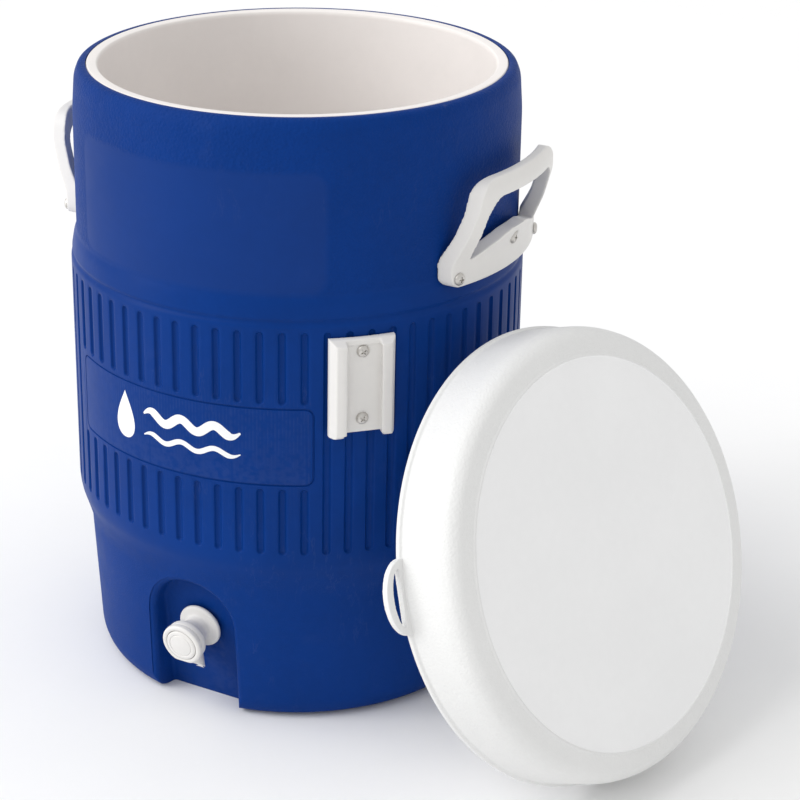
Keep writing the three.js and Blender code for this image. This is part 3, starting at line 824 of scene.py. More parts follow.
# ---------------------------------------------------------------- sub-assemblies
class SubAssembly:
    """A group of pieces that is built and dressed together."""

    def build(self) -> None:
        """Builds every piece."""
        raise NotImplementedError

    def dress(
        self, obj: Obj, finish: Finish, *nodes: str, body: Body = Body.JUG, crease: float = 40.0
    ) -> None:
        """Shades a piece, gives it its finish and ties it to the frame.

        Args:
            obj: the piece.
            finish: its finish.
            *nodes: frame nodes it stands for.
            body: the body it moves with.
            crease: edges sharper than this stay crisp, in degrees.
        """
        shade(obj, crease)
        obj.data.materials.clear()
        obj.data.materials.append(finish.material())
        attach(obj, body.value)
        if nodes:
            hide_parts(*nodes)
        obj.data.calc_loop_triangles()
        LOG.info("%s on %s: %d triangles", obj.name, body.value, len(obj.data.loop_triangles))

    def repaint(self, node: str, finish: Finish) -> None:
        """Gives a node that stays as it is in the frame a full finish."""
        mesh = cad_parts[node].data
        mesh.materials.clear()
        mesh.materials.append(finish.material())
        LOG.info("%s keeps its shape and is finished as %s", node, finish.name)


@dataclass
class SpigotPlace:
    """Where the spigot and its recess sit on the jug."""

    tilt: float = 8.0
    height: float = 62.0
    floor_y: float = -137.5

    def matrix(self) -> Matrix:
        """Local +Z is the way out of the recess floor."""
        return at(0, self.floor_y, self.height, 90 + self.tilt)


SPIGOT_PLACE = SpigotPlace()


@dataclass
class Jug(SubAssembly):
    """Shell, liner, fill plug and emblem."""

    wall: float = 3.0
    segments: int = FACETS * 6
    band_low: float = 138.0
    band_high: float = 313.0
    groove_width: float = 5.0
    label_azimuth: float = -1.5
    label_half: float = 37.0
    label_low: float = 196.0
    label_high: float = 256.0
    recess_half: float = 36.0
    recess_top: float = 10.0
    recess_draft: float = 0.88
    draft_reach: float = 27.0
    recess_lip: float = 5.0
    recess_fillet: float = 2.5
    mouth: float = 141.0
    lip: float = 8.4
    plug_spot: tuple[float, float, float] = (62.0, 48.0, 11.0)

    def outer(self) -> Outline:
        """The shell's outer section, base to rim."""
        corners = [
            (0, 0), (140.9, 0), (149.5, 3.5), (152.9, 12), (157.9, 107), (161.2, 118.5),
            (165.2, 131), (166, 139), (165.3, 312), (163.4, 315), (164.6, 317.5),
            (162.8, 327.5), (160.8, 333), (160.2, 420), (158.3, 444), (155.6, 450.4),
            (152.8, 452), (0, 452),
        ]
        return soft_corners(corners, 5.0, steps=4)

    def radius_at(self, z: float) -> float:
        """The outer wall's radius at a height."""
        level = max(z, 12.5)
        points = self.outer()[3:-2]
        for (r0, z0), (r1, z1) in zip(points, points[1:]):
            if z0 <= level <= z1 and z1 > z0:
                return (r0 + (r1 - r0) * (level - z0) / (z1 - z0)) * FLAT
        return points[-1][0] * FLAT

    def inner(self) -> Outline:
        """The cavity's section."""
        w = self.wall
        return [
            (0, w), (139.9, w), (152.9 - w, 13), (157.9 - w, 108), (166 - w, 134), (165.2 - w, 312),
            (160.8 - w, 330), (160.2 - w, 420), (155.8 - w, 445.5), (0, 445.5),
        ]

    def groove(self, low: float, high: float) -> Obj:
        """A rounded slot cutter at azimuth 0, with a softened mouth.

        Args:
            low: lower end of the slot.
            high: upper end.

        Returns:
            The cutter.
        """
        radius = self.groove_width / 2
        levels = [
            (1.2, 0.8), (0.05, 0.8), (-0.15, 0.42), (-0.5, 0.08), (-0.95, -0.12), (-1.5, -0.55),
            (-1.85, -1.1), (-2.0, -1.8),
        ]
        middle, straight = (low + high) / 2, (high - low) / 2 - radius
        wall = self.radius_at(middle)
        rings = []
        for out, grow in levels:
            ring = []
            for k in range(20):
                a = math.pi * (k if k < 10 else k - 1) / 9
                end = straight if k < 10 else -straight
                reach = radius + grow
                ring.append(
                    Vector((reach * math.cos(a), -(wall + out), middle + end + reach * math.sin(a)))
                )
            rings.append(ring)
        return from_rings("groove", rings)

    def grooves(self) -> list[Obj]:
        """The band's grooves, in full and in short columns above and below the label."""
        step = 360.0 / FACETS
        first = math.ceil((self.label_azimuth - self.label_half) / step)
        last = math.floor((self.label_azimuth + self.label_half) / step)
        short = last - first + 1
        low, high = self.band_low + 4, self.band_high - 5
        runs = [
            ("full_grooves", low, high, FACETS - short, last + 1),
            ("low_grooves", low, self.label_low - 4, short, first),
            ("high_grooves", self.label_high, high, short, first),
        ]
        made = []
        for name, z0, z1, count, start in runs:
            values = {
                "Count": count, "Start": math.radians(start * step), "Step": math.radians(step)
            }
            made.append(REPEATS.lay(name, self.groove(z0, z1), REPEATS.columns(), values))
        return made

    def wrap(self, across: float, up: float, out: float) -> Vector:
        """A point of a flat drawing laid on the band."""
        azimuth = math.radians(self.label_azimuth) + across / R_BAND
        radius = self.radius_at(up) + out
        return Vector((radius * math.sin(azimuth), -radius * math.cos(azimuth), up))

    def label_line(self) -> Obj:
        """The cutter of the fine line round the label panel."""
        half = math.radians(self.label_half - 1.6) * R_BAND
        low, high = self.label_low - 0.5, self.label_high - 3.5
        corners = [(-half, low), (half, low), (half, high), (-half, high)]
        fine = []
        rounded = soft_corners(corners, 7.0, closed=True, steps=8)
        for (x0, y0), (x1, y1) in zip(rounded, [*rounded[1:], rounded[0]]):
            count = max(1, round(math.hypot(x1 - x0, y1 - y0) / 2.5))
            fine += [(x0 + (x1 - x0) * k / count, y0 + (y1 - y0) * k / count) for k in range(count)]
        middle = Vector((0, (low + high) / 2))
        rings = []
        for i, point in enumerate(fine):
            ahead, behind = Vector(fine[(i + 1) % len(fine)]), Vector(fine[i - 1])
            along = (ahead - behind).normalized()
            side = Vector((along.y, -along.x))
            if side.dot(Vector(point) - middle) < 0:
                side = -side
            section = [(-1.1, 0.6), (1.1, 0.6), (0.35, -0.8), (-0.35, -0.8)]
            rings.append([self.wrap(*(Vector(point) + side * s), out) for s, out in section])
        return from_rings("label_line", rings, loop=True)

    def recess_contour(self, half: float) -> list[tuple[float, float]]:
        """An arch with legs that run out through the base."""
        legs, arcs, foot = 14, 36, -SPIGOT_PLACE.height - 40.0
        rise = [foot + (self.recess_top - foot) * k / legs for k in range(legs)]
        arch = [math.pi * k / arcs for k in range(arcs + 1)]
        right = [(half, v) for v in rise]
        top = [(half * math.cos(a), self.recess_top + half * math.sin(a)) for a in arch]
        return [*right, *top, *[(-half, v) for v in reversed(rise)]]

    def depth_to_wall(self, across: float, up: float) -> float:
        """How far out of the recess floor the outer wall lies."""
        place = SPIGOT_PLACE.matrix()
        low, high = 0.0, 70.0
        for _ in range(24):
            middle = (low + high) / 2
            point = place @ Vector((across, up, middle))
            inside = math.hypot(point.x, point.y) < self.radius_at(point.z)
            low, high = (middle, high) if inside else (low, middle)
        return low

    def draft(self, depth: float) -> float:
        """Width of the recess at a depth over its width at the mouth."""
        return self.recess_draft + (1 - self.recess_draft) * depth / self.draft_reach

    def recess(self, grow: float) -> Obj:
        """The recess as a solid.

        Args:
            grow: extra on every side, for the wall behind it; 0 adds the rounded lip and floor.

        Returns:
            The solid.
        """
        rings = []
        if grow:
            for depth in (-grow, 60.0):
                half = self.recess_half * self.draft(max(depth, 0)) + grow
                rings.append([Vector((u, v, depth)) for u, v in self.recess_contour(half)])
            return from_rings("recess_back", rings, SPIGOT_PLACE.matrix())
        for k in range(5):
            a = math.pi / 2 * k / 4
            depth = self.recess_fillet * (1 - math.cos(a))
            half = self.recess_half * self.draft(depth) - self.recess_fillet * (1 - math.sin(a))
            rings.append([Vector((u, v, depth)) for u, v in self.recess_contour(half)])
        for k in range(6):
            a = math.radians(84) * k / 5
            below, wider = self.recess_lip * (1 - math.sin(a)), self.recess_lip * (1 - math.cos(a))
            ring = []
            wide = self.recess_contour(self.recess_half + wider)
            for (u, v), (wu, wv) in zip(self.recess_contour(self.recess_half), wide):
                depth = self.depth_to_wall(wu, wv) - below
                scale = self.draft(depth) - 1
                ring.append(
                    Vector((wu + u * scale, wv + max(0.0, v - self.recess_top) * scale, depth))
                )
            rings.append(ring)
        rings.append([p + Vector((0, 0, 1.5)) for p in rings[-1]])
        rings.append([Vector((p.x, p.y, 60.0)) for p in rings[-1]])
        return from_rings("recess", rings, SPIGOT_PLACE.matrix())

    def shell(self) -> None:
        """The outer shell with its grooves, label line, recess and cavity."""
        place = SPIGOT_PLACE.matrix()
        x, y, r = self.plug_spot
        made = lathe("outer_wall", self.outer(), self.segments, squeeze=FLAT)
        cavity = lathe("cavity", soft_corners(self.inner(), 4.0, steps=2), FACETS * 2, squeeze=FLAT)
        carve(cavity, [self.recess(self.wall)])
        rim = self.mouth + self.lip + GAP
        cutters = [
            *self.grooves(),
            self.label_line(),
            self.recess(0.0),
            cavity,
            rod("mouth", self.mouth + self.wall + GAP + 1, JUG_H - 22, JUG_H + 1, FACETS * 3),
            rod("rim_seat", rim, JUG_H - self.wall - GAP, JUG_H + 1, FACETS * 3),
            rod("spigot_hole", SPIGOT_SHANK + GAP, -self.wall - 1, 1, 40, place),
            rod("plug_hole", r - 3, -1, 4, 40, at(x, y, 0)),
            rod("plug_seat", r, -1, 1.6, 40, at(x, y, 0)),
        ]
        self.dress(carve(made, cutters), BLUE, "outer_shell", crease=30)

    def liner(self) -> None:
        """The food-grade liner with its rolled lip and the boss behind the spigot."""
        inside = [(0, 42), (100, 42), (113, 47), (118, 64), (139.2, 412), (141, 449.6)]
        lip = [(141.9, 451.8), (148.6, 452.2), (149.4, 451.4), (149.4, 449)]
        outside = [
            (144, 449), (144, 447.5), (142.2, 412), (121, 64), (116, 45.5), (102, 39), (0, 39)
        ]
        rounded = soft_corners([*inside, *lip, *outside], 7.0, steps=6)
        place = SPIGOT_PLACE.matrix()
        made = lathe("liner", rounded, FACETS * 4, squeeze=FLAT)
        boss = rod("boss", PAD_RADIUS, PAD_IN, PAD_IN + PAD_DEPTH, 64, place)
        carve(made, [boss], Cut.JOIN)
        carve(made, [rod("outlet", SPIGOT_SHANK + GAP, PAD_IN - 12, 2, 48, place)])
        self.dress(made, LINER, "inner_liner", crease=35)

    def fill_plug(self) -> None:
        """The plug in the base that closes the foam's filling hole."""
        x, y, r = self.plug_spot
        section = [(0, 0.3), (r - 0.3, 0.3), (r - 0.3, 1.3), (r - 3.3, 1.3), (r - 3.8, 9), (0, 9)]
        made = lathe("foam_plug", soft_corners(section, 0.3, steps=3), 56, at(x, y, 0))
        self.dress(made, BLUE, "fill_plug")

    def stroke(
        self, line: Sequence[tuple[float, float]], width: float
    ) -> list[tuple[Vector, Vector]]:
        """Rows across a line, shorter towards its ends."""
        rows = []
        for i, (x, y) in enumerate(line):
            (x0, y0), (x1, y1) = line[max(i - 1, 0)], line[min(i + 1, len(line) - 1)]
            along = Vector((x1 - x0, y1 - y0)).normalized()
            half = width / 2 * min(1.0, 0.2 + 7 * min(i, len(line) - 1 - i) / len(line))
            side = Vector((-along.y, along.x)) * half
            rows.append((Vector((x, y)) + side, Vector((x, y)) - side))
        return rows

    def print_on(
        self, bm: bmesh.types.BMesh, rows: list[tuple[Vector, Vector]], columns: int
    ) -> None:
        """Adds a thin closed skin of print that follows the wall.

        Args:
            bm: the mesh.
            rows: the print's two edges, point by point.
            columns: faces from edge to edge.
        """
        layers = []
        for out in (-0.05, 0.12):
            grid = []
            for left, right in rows:
                spots = [left.lerp(right, c / columns) for c in range(columns + 1)]
                grid.append([bm.verts.new(self.wrap(p.x, p.y, out) * MM) for p in spots])
            layers.append(grid)
        low, high = layers
        for grid in layers:
            for near, far in zip(grid, grid[1:]):
                for c in range(columns):
                    bm.faces.new((near[c], near[c + 1], far[c + 1], far[c]))
        for c in range(columns):
            for i in (0, -1):
                bm.faces.new((low[i][c], low[i][c + 1], high[i][c + 1], high[i][c]))
        for i in range(len(rows) - 1):
            for c in (0, -1):
                bm.faces.new((low[i][c], low[i + 1][c], high[i + 1][c], high[i][c]))

    def emblem(self) -> None:
        """A generic water drop with two waves, printed on the label panel."""
        drop = []
        for k in range(41):
            a = 0.04 + (math.pi - 0.08) * k / 40
            half = 13.0 * math.sin(a) * math.sin(a / 2) ** 1.3
            height = 227 + 18 * math.cos(a)
            drop.append((Vector((-44 - half, height)), Vector((-44 + half, height))))
        bm = bmesh.new()
        self.print_on(bm, drop, 16)
        for height, width, rise in ((233.0, 6.6, 3.4), (217.0, 3.8, 2.2)):
            line = []
            for k in range(73):
                line.append((-25 + 77 * k / 72, height + rise * math.sin(k / 72 * 6 * math.pi)))
            self.print_on(bm, self.stroke(line, width), 3)
        bmesh.ops.recalc_face_normals(bm, faces=bm.faces)
        self.dress(from_bmesh("emblem", bm), PAINT, crease=30)

    def build(self) -> None:
        """Builds the jug's own pieces."""
        self.shell()
        self.liner()
        self.fill_plug()
        self.emblem()
        self.repaint("foam_core", FOAM)


@dataclass
class Screws(SubAssembly):
    """Pan-head cross-recess screws of handles and bracket."""

    shank: float = 2.0
    head: float = 4.4
    beyond: float = 14.0

    def screw(self, length: float) -> Obj:
        """One screw seated on local z 0."""
        section = [
            (0, -length), (self.shank, -length + 2.5), (self.shank, 0.15), (self.head, 0.15),
            (self.head, 0.5),
            (self.head - 0.35, 1.35), (self.head - 1.2, 2.1), (self.head - 2.4, 2.5), (0, 2.6),
        ]
        made = lathe("screw", section, 20)
        slots = []
        for turn in (0, 90):
            bar = [(-2.1, -0.5), (2.1, -0.5), (2.1, 0.5), (-2.1, 0.5)]
            slots.append(prism("slot", bar, 1.2, 4, at(0, 0, 0, turn_z=turn)))
        return carve(made, slots)

    def lay(self, name: str, length: float, values: dict[str, float], nodes: Sequence[str]) -> None:
        """Sets screws out and dresses them as one piece."""
        made = REPEATS.lay(name, self.screw(length), REPEATS.screws(), values)
        self.dress(made, STEEL, *nodes, crease=35)

    def build(self) -> None:
        """Sets out the handles' six screws and the bracket's two."""
        turn = math.radians(SCREW_TURN)
        sides = {
            "Count": 6, "In row": 3, "Radius": R_PLATE * MM, "First azimuth": -math.pi / 2,
            "Row turn": math.pi,
            "Screw turn": turn, "Low": SCREW_LOW * MM, "Rise": SCREW_RISE * MM, "Climb": 0.0,
        }
        names = [f"handle_{side}_screw_{i}" for side in ("left", "right") for i in (1, 2, 3)]
        self.lay("handle_screws", HANDLE_PLATE + self.beyond, sides, names)
        column = {
            "Count": 2, "In row": 2, "Radius": (R_BAND + 3.6) * MM,
            "First azimuth": math.radians(45),
            "Row turn": 0.0, "Screw turn": 0.0, "Low": 246 * MM, "Rise": 0.0, "Climb": 49 * MM,
        }
        self.lay("bracket_screws", self.beyond, column, ["bracket_screw_1", "bracket_screw_2"])


@dataclass
class Handles(SubAssembly):
    """The two loop handles."""

    voxel: float = 0.75

    def mirrored(self, half: Outline) -> Outline:
        """A symmetric outline from its right half, measured up from the plate's underside."""
        right = [(y, HANDLE_LOW + z) for y, z in half]
        return [*right, *[(-y, z) for y, z in reversed(right)]]

    def one(self) -> Obj:
        """The handle on the +X side."""
        face, back = R_PLATE, R_UPPER + GAP
        outer = [
            (60, 0), (64.5, 2), (66.5, 6.5), (66.5, 15), (58.5, 58), (56, 66.5), (50.5, 72.5),
            (42, 75),
        ]
        opening = [(13, 30.5), (52, 17.5), (48.5, 50), (45, 57), (38, 61.5)]
        section = [
            (face, -1), (face, 17), (face + 7.4, 36), (face + 12.2, 55), (face + 12.4, 68),
            (face + 9, 76),
            (face + 2.6, 76), (face + 1.4, 70), (face + 1.2, 53), (face - 3.2, 36),
            (back, 19), (back, -1),
        ]
        raised = [(r, z + HANDLE_LOW) for r, z in section]
        sideways = Matrix(((0, 0, 1, 0), (1, 0, 0, 0), (0, 1, 0, 0), (0, 0, 0, 1)))
        made = lathe("handle_right_loop", soft_corners(raised, 3.0, closed=True), 540, squeeze=FLAT)
        carve(
            made,
            [prism("outline", soft_corners(self.mirrored(outer), 4.0, True), 120, 200, sideways)],
            Cut.KEEP,
        )
        wall = [
            (0, 310), (164, 310), (165.2, 317.5), (163.3, 327.5), (161.2, 333), (160.6, 420),
            (0, 420),
        ]
        cutters = [
            prism("opening", soft_corners(self.mirrored(opening), 3.5, True), 120, 200, sideways),
            lathe("wall", wall, 360),
        ]
        spots = [(k * SCREW_TURN, SCREW_LOW + (0 if k else SCREW_RISE)) for k in (-1, 0, 1)]
        for turn, z in spots:
            place = at(0, 0, z, 90, 90 + turn)
            cutters.append(rod("shank_hole", SCREW_HOLE, 140, 190, 20, place))
            cutters.append(rod("head_seat", 5.2, face, 190, 40, place))
        carve(made, cutters)
        return soften(made, self.voxel, 5)

    def build(self) -> None:
        """Builds both handles."""
        right = self.one()
        mesh = right.data.copy()
        mesh.transform(Matrix.Rotation(math.pi, 4, "Z"))
        left = bpy.data.objects.new("handle_left_loop", mesh)
        bpy.context.scene.collection.objects.link(left)
        self.dress(right, WHITE, "handle_right", crease=70)
        self.dress(left, WHITE, "handle_left", crease=70)


@dataclass
class CupBracket(SubAssembly):
    """The rail that a cup dispenser slides into."""

    azimuth: float = 45.0
    width: float = 46.0
    low: float = 236.0
    high: float = 304.5
    floor: float = R_BAND + 3.6
    voxel: float = 0.5

    def build(self) -> None:
        """Builds the bracket across X, out along Y, and turns it into place."""
        w, face, back = self.width / 2, self.floor + 6.4, R_BAND - 3
        place = at(0, 0, 0, turn_z=180 + self.azimuth)
        upright = place @ Matrix(((0, 0, 1, 0), (1, 0, 0, 0), (0, 1, 0, 0), (0, 0, 0, 1)))
        across = [
            (-w, back), (w, back), (w, self.floor - 0.6), (w - 3.5, face - 1), (w - 8, face),
            (8 - w, face), (3.5 - w, face - 1), (-w, self.floor - 0.6),
        ]
        side = [
            (back, self.low - 2.5), (face - 2.5, self.low - 2.5), (face, self.low + 0.5),
            (face, self.high - 4), (self.floor - 0.6, self.high), (back, self.high),
        ]
        channel = [(9 - w, self.floor), (w - 9, self.floor), (w - 11, face + 1), (11 - w, face + 1)]
        foot = [(9 - w, back - 1), (w - 9, back - 1), (w - 9, face + 1), (9 - w, face + 1)]
        notch = [
            (11 - w, self.floor + 1.2), (w - 11, self.floor + 1.2), (w - 11, face + 1),
            (11 - w, face + 1),
        ]
        made = prism(
            "bracket_rails", soft_corners(across, 0.8, True, 2), self.low - 10, self.low + 80, place
        )
        carve(
            made,
            [prism("side", soft_corners(side, 0.8, True, 2), -w - 1, w + 1, upright)],
            Cut.KEEP,
        )
        cutters = [
            prism("channel", channel, self.high - 94.6, self.high - 4.6, place),
            prism("notch", notch, self.high - 5, self.high + 1, place),
            prism("foot", foot, self.low - 5, self.low, place),
            rod("band", R_BAND + GAP, self.low - 10, self.high + 10, 720),
        ]
        for z in (self.low + 10, self.high - 9.5):
            seat = at(0, 0, z, 90, self.azimuth)
            cutters.append(rod("screw_hole", SCREW_HOLE, 150, 180, 20, seat))
        soften(carve(made, cutters), self.voxel, 3)
        self.dress(made, WHITE, "cup_bracket", crease=70)


@dataclass
class Spigot(SubAssembly):
    """The push-button spigot, drawn out of the recess floor along local +Z."""

    radius: float = 15.5
    shank: float = SPIGOT_SHANK
    flange: float = 17.0
    inner_end: float = -39.5
    seat: tuple[float, float] = (6.0, 8.0)
    web: tuple[float, float] = (21.0, 23.0)
    head: float = 26.0
    front: float = 30.5
    spout_at: float = 17.0
    spout_radius: float = 7.2
    spout_end: float = 33.5
    travel: float = 4.0
    voxel: float = 0.45

    def turned(
        self,
        name: str,
        section: Outline,
        finish: Finish,
        node: str,
        corner: float = 0.4,
        body: Body = Body.JUG,
    ) -> None:
        """A small turned piece with soft corners."""
        closed = section[0][0] > 0
        made = lathe(name, soft_corners(section, corner, closed, 3), 64, SPIGOT_PLACE.matrix())
        self.dress(made, finish, node, body=body)

    def tube(self, outer: float, inner: float, low: float, high: float) -> Outline:
        """The section of a ring."""
        return [(inner, low), (outer, low), (outer, high), (inner, high)]

    def housing(self) -> None:
        """The body with shank, flange, neck, head and spout."""
        place = SPIGOT_PLACE.matrix()
        r, s, f, head = self.radius, self.shank, self.flange, self.head
        section = [
            (0, self.inner_end), (s, self.inner_end), (s, 2.6), (f, 2.6), (f, 4.6), (f - 1, 5.6),
            (s + 1, 6.1),
            (s + 0.4, head - 15), (r - 2, head - 7), (r, head - 5), (r, head), (0, head),
        ]
        made = lathe("spigot_housing", soft_corners(section, 2.0, steps=4), 96, place)
        down = place @ at(0, 0, self.spout_at, 90)
        carve(
            made,
            [rod("spout", self.spout_radius, 0, self.spout_end, 64, down, self.spout_radius + 0.8)],
            Cut.JOIN,
        )
        slant = place @ at(0, -18.5, self.spout_at + 6.6, 45)
        wedge = [(-12, -20), (12, -20), (12, 0), (-12, 0)]
        cutters = [
            rod("bore", s - 3, self.inner_end - 1, self.seat[0] - 7, 48, place),
            rod("bore", s - 1.4, self.seat[0] - 8, self.seat[0], 48, place),
            rod("bore", s - 3.8, self.seat[0] - 1, self.seat[1] + 1, 48, place),
            rod("bore", s - 1.4, self.seat[1], self.web[0] - 7, 48, place),
            rod("bore", s - 1.4, self.web[0] - 7.1, self.web[0], 48, place, r - 4),
            rod("bore", 2.8, self.web[0] - 1, self.web[1] + 1, 32, place),
            rod("bore", r - 3.2, self.web[1], self.head + 1, 64, place),
            rod("spout_bore", self.spout_radius - 1.8, 0, self.spout_end + 2, 48, down),
            prism("spout_mouth", wedge, 0, 30, slant),
        ]
        soften(carve(made, cutters), self.voxel, 3)
        self.dress(made, WHITE, "spigot_body", crease=70)

    def bonnet(self) -> None:
        """The D-shaped ring round the button."""
        place = SPIGOT_PLACE.matrix()
        r, low = self.radius, self.head + GAP
        section = [
            (r - 3.2, low), (r + 0.5, low), (r + 0.5, self.front - 1), (r - 0.7, self.front),
            (r - 2.6, self.front), (r - 3.2, self.front - 0.6),
        ]
        made = lathe("spigot_front_ring", soft_corners(section, 0.5, True, 3), 96, place)
        flat = [(-20, -20), (20, -20), (20, 1.6 - r), (-20, 1.6 - r)]
        carve(made, [prism("flat", flat, self.head - 1, self.front + 1, place)])
        soften(made, 0.32, 2)
        self.dress(made, WHITE, "spigot_bonnet", crease=70)

    def button(self) -> None:
        """The domed button with a ring pressed into its face."""
        base, r, top = self.web[1] + self.travel + GAP, self.radius - 3.5, self.front
        section = [
            (0, base + 2), (2.7, base + 2), (2.7, base), (r, base), (r, top - 0.4),
            (r - 0.7, top + 0.3), (r - 2.6, top + 0.5),
            (r - 2.9, top + 0.05), (r - 3.5, top + 0.05), (r - 3.8, top + 0.55), (0, top + 0.9),
        ]
        self.turned("spigot_push_button", section, WHITE, "spigot_button", 0.35, body=Body.PRESS)

    def spring(self) -> None:
        """The return spring under the button."""
        wire, turns = 0.42, 2.4
        low, high = self.web[1] + GAP + wire, self.web[1] + self.travel - wire
        place = SPIGOT_PLACE.matrix()
        rings = []
        for i in range(73):
            a = turns * 2 * math.pi * i / 72
            out = Vector((math.cos(a), math.sin(a), 0))
            centre = out * 7 + Vector((0, 0, low + (high - low) * i / 72))
            around = [k * math.pi / 4 for k in range(8)]
            ring = [
                centre + wire * (out * math.cos(b) + Vector((0, 0, math.sin(b)))) for b in around
            ]
            rings.append(ring)
        made = from_rings("button_spring", rings, place)
        self.dress(made, STEEL, "spigot_spring")
        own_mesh(made)

    def nut(self) -> None:
        """The hexagonal nut inside the liner."""
        low = PAD_IN - 2 - 2 * GAP - 8
        place = SPIGOT_PLACE.matrix()
        angles = [k * math.pi / 3 for k in range(6)]
        corners = [
            ((self.radius + 1) * math.cos(a), (self.radius + 1) * math.sin(a)) for a in angles
        ]
        made = prism("spigot_back_nut", corners, low, low + 8, place)
        near, far = self.radius - 1.2, self.radius + 1.2
        chamfer = [(0, low - 1), (near, low - 0.3), (far, low + 2), (far, low + 9), (0, low + 9)]
        carve(made, [lathe("chamfer", chamfer, 72, place)], Cut.KEEP)
        carve(made, [rod("thread", self.shank + GAP, low - 1, low + 9, 64, place)])
        self.dress(bevel(made, 0.35), WHITE, "spigot_nut")

    def build(self) -> None:
        """Builds the spigot from the front to the nut inside."""
        self.housing()
        self.bonnet()
        self.button()
        seal = (self.seat[0] - 3.4, self.seat[0] - GAP)
        foot, tip = seal[0] - 1.5, self.web[1] + self.travel + GAP + 1.8
        stem = [(0, foot), (2.5, foot), (2.5, tip), (0, tip)]
        self.turned("spigot_valve_stem", stem, WHITE, "spigot_stem", body=Body.PRESS)
        self.turned(
            "spigot_valve_seal", self.tube(6.8, 2.7, *seal), RUBBER, "spigot_seal", 0.6,
            body=Body.PRESS,
        )
        self.spring()
        hole = self.shank + GAP
        outer = self.tube(self.radius - 1.5, hole, GAP, 2.3)
        inner = self.tube(self.radius, hole, PAD_IN - 2.3, PAD_IN - 0.3)
        self.turned("spigot_front_gasket", outer, RUBBER, "spigot_outer_gasket", 0.5)
        self.turned("spigot_back_gasket", inner, RUBBER, "spigot_inner_gasket", 0.5)
        self.nut()


@dataclass
class Lid(SubAssembly):
    """The seat-top lid, standing on its edge and leaning on the jug."""

    radius: float = 158.5
    thickness: float = 48.0
    plug: float = 137.5
    plug_tip: float = 110.0
    plug_depth: float = 50.0
    plug_bevel: float = 6.0
    azimuth: float = 76.0
    lean: float = 21.5
    rest_gap: float = 0.5
    loop_at: float = 170.5
    loop_reach: float = 14.4
    loop_half: float = 25.0
    loop_ring: float = 6.0
    loop_thick: float = 4.6
    segments: int = 300
    squeeze: float = math.cos(math.pi / 56)

    def place(self) -> Matrix:
        """Local origin is the underside's centre, and +Z the seat face's way."""
        lean, turn = math.radians(self.lean), math.radians(self.azimuth)
        normal = Vector(
            (math.cos(lean) * math.sin(turn), -math.cos(lean) * math.cos(turn), math.sin(lean))
        )
        across = Vector((math.cos(turn), math.sin(turn), 0))
        slope = normal.cross(across)
        edge = self.plug_tip - self.plug_bevel
        away = R_BAND + self.rest_gap + self.plug_depth * math.cos(lean) + edge * math.sin(lean)
        centre = Vector(
            (away * math.sin(turn), -away * math.cos(turn), self.radius * math.cos(lean))
        )
        spin = Matrix((across, slope, normal)).transposed().to_4x4()
        return Matrix.Translation(centre) @ spin

    def d_shape(self, base: float, reach: float, half: float) -> list[tuple[float, float]]:
        """Half an ellipse that bulges towards +X."""
        angles = [math.pi * i / 32 - math.pi / 2 for i in range(33)]
        return [(base + math.cos(a) * reach, math.sin(a) * half) for a in angles]

    def loop(self) -> Obj:
        """The finger loop on the lip."""
        root = self.radius - 4.4
        half = self.loop_half
        outer = [
            *self.d_shape(self.radius - 2.6, self.loop_reach + 2.6, half),
            (root, half),
            (root, -half),
        ]
        reach = self.loop_reach - 0.8 - self.loop_ring
        opening = self.d_shape(self.radius + 0.8, reach, half - self.loop_ring)
        place = self.place() @ at(0, 0, 0, turn_z=self.loop_at)
        made = prism("finger_loop", outer, 0.05, self.loop_thick, place)
        carve(made, [prism("finger_hole", opening, -2, self.loop_thick + 2, place)])
        return soften(made, 0.5, 3)

    def cap(self) -> None:
        """The seat top and skirt with the finger loop."""
        r, t = self.radius, self.thickness
        outside = [
            (r, 0), (r, 3), (r - 1.8, 4.4), (r - 3.2, t - 14), (r - 5.8, t - 6.6),
            (r - 11, t - 2.2),
            (r - 22.5, t - 0.7), (r - 23.3, t), (r - 24.5, t), (r - 25.3, t - 0.9), (0, t - 0.9),
        ]
        inside = [(0, t - 3.9), (r - 17, t - 4.9), (r - 6.8, t - 16), (r - 5.4, 0)]
        edge = soft_corners([(r - 2, 0), *outside], 4.5, steps=5)[1:]
        section = [*edge, *inside]
        made = lathe("lid_seat_top", section, self.segments, self.place(), self.squeeze)
        carve(made, [self.loop()], Cut.JOIN)
        self.dress(made, self.finish(), "lid_cap", crease=32, body=Body.LID)

    def finish(self) -> LidFinish:
        """The cap's finish, which knows where the seat disc is."""
        place = self.place()
        return LidFinish(
            "lid_white_plastic", srgb(230, 230, 229), 0.5, 0.25, cell=1.9, depth=0.25,
            variation=0.015, marks=0.04,
            centre=tuple(place.translation), axis=tuple(place.to_3x3() @ Vector((0, 0, 1))),
            disc_colour=srgb(243, 243, 243),
            slot=Slot.LID,
        )

    def pan(self) -> None:
        """The flat rim and plug that enter the jug's mouth."""
        r, p, tip, d, w = self.radius - 5.7, self.plug, self.plug_tip, self.plug_depth, 3.0
        section = [
            (0, w - d), (0, -d), (tip - self.plug_bevel, -d), (tip - 1.8, 1.6 - d),
            (tip + 1.6, 6 - d), (p, 0.3), (r, 0.3),
            (r, w), (p - w, w), (tip - w + 0.8, 7.5 - d), (tip - w - 5.5, w - d),
        ]
        outline = [*section[:2], *soft_corners(section[1:], 3.0, steps=4)[1:]]
        made = lathe("lid_plug_pan", outline, self.segments, self.place(), self.squeeze)
        self.dress(made, PAN, "lid_pan", crease=35, body=Body.LID)

    def build(self) -> None:
        """Builds the lid."""
        self.cap()
        self.pan()
        self.repaint("lid_foam", FOAM)


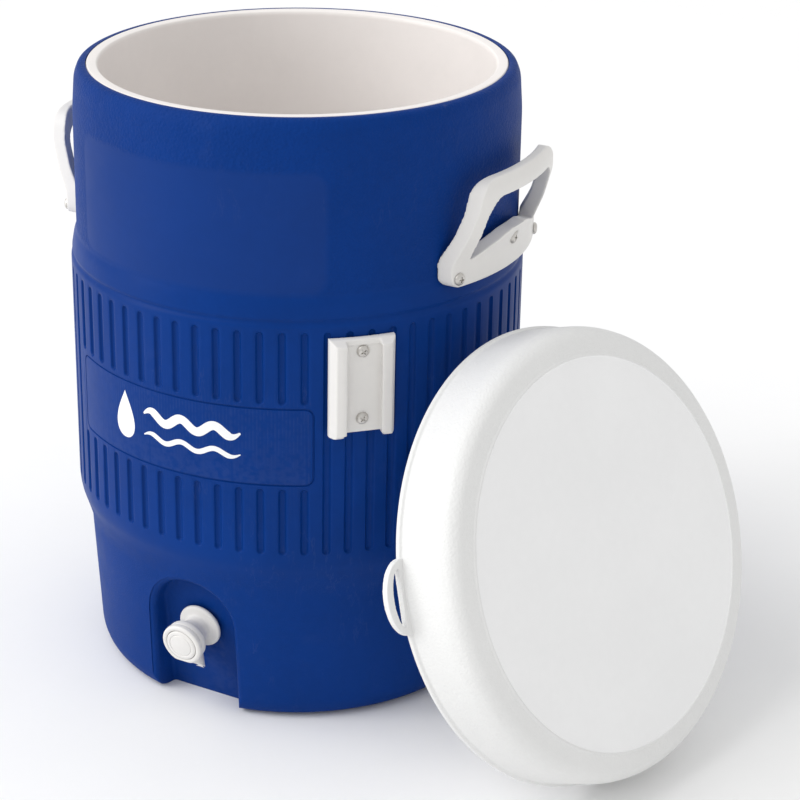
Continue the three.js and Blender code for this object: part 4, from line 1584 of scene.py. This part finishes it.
# ---------------------------------------------------------------- studio
@dataclass
class Studio:
    """Floor, light and camera."""

    camera_spot: tuple[float, float, float] = (0.7427, -1.2865, 0.8396)
    pitch: float = 23.8
    heading: float = 30.0
    lens: float = 96.29
    shift: tuple[float, float] = (0.1286, 0.0043)
    sky: float = 0.78
    sun: float = 1.3

    def floor(self) -> None:
        """A wide pale floor."""
        made = prism(
            "floor", [(-9000, -9000), (9000, -9000), (9000, 9000), (-9000, 9000)], -20, -0.2
        )
        pale = Finish(
            "pale_floor", (0.94, 0.94, 0.94), 0.8, 0.1, cell=6.0, depth=0.02, variation=0.005,
            marks=0.0,
        )
        made.data.materials.append(pale.material())

    def light(self) -> None:
        """An even white surround, a broad soft key from the left and a strip for gloss."""
        world = bpy.data.worlds.new("surround")
        bpy.context.scene.world = world
        world.use_nodes = True
        world.node_tree.nodes["Background"].inputs["Color"].default_value = (1, 1, 1, 1)
        world.node_tree.nodes["Background"].inputs["Strength"].default_value = self.sky
        key = bpy.data.lights.new("key", "SUN")
        key.energy = self.sun
        key.angle = math.radians(50)
        holder = bpy.data.objects.new("key", key)
        holder.rotation_euler = Vector((0.8, 0.62, -0.95)).to_track_quat("-Z", "Y").to_euler()
        bpy.context.scene.collection.objects.link(holder)
        strip = bpy.data.lights.new("strip", "AREA")
        strip.shape, strip.size, strip.size_y, strip.energy = "RECTANGLE", 0.5, 1.6, 9.0
        side = bpy.data.objects.new("strip", strip)
        side.location = (-1.5, -1.3, 0.9)
        side.rotation_euler = Vector((1.5, 1.3, -0.65)).to_track_quat("-Z", "Y").to_euler()
        bpy.context.scene.collection.objects.link(side)

    def camera(self) -> None:
        """The camera, level from side to side and looking down on the jug."""
        lens = bpy.data.cameras.new("camera")
        lens.sensor_width, lens.lens = 36.0, self.lens
        lens.shift_x, lens.shift_y = self.shift
        lens.clip_end = 60.0
        holder = bpy.data.objects.new("camera", lens)
        holder.location = self.camera_spot
        holder.rotation_euler = (math.radians(90 - self.pitch), 0, math.radians(self.heading))
        bpy.context.scene.collection.objects.link(holder)
        bpy.context.scene.camera = holder

    def build(self) -> None:
        """Builds the studio."""
        bpy.context.scene.view_settings.view_transform = "Standard"
        self.floor()
        self.light()
        self.camera()


def main() -> None:
    """Builds the sub-assemblies in order, then the studio."""
    logging.basicConfig(level=logging.INFO, format="%(message)s", stream=sys.stdout)
    for part in (Jug(), Handles(), CupBracket(), Screws(), Spigot(), Lid(), Studio()):
        part.build()


if __name__ == "__main__":
    main()
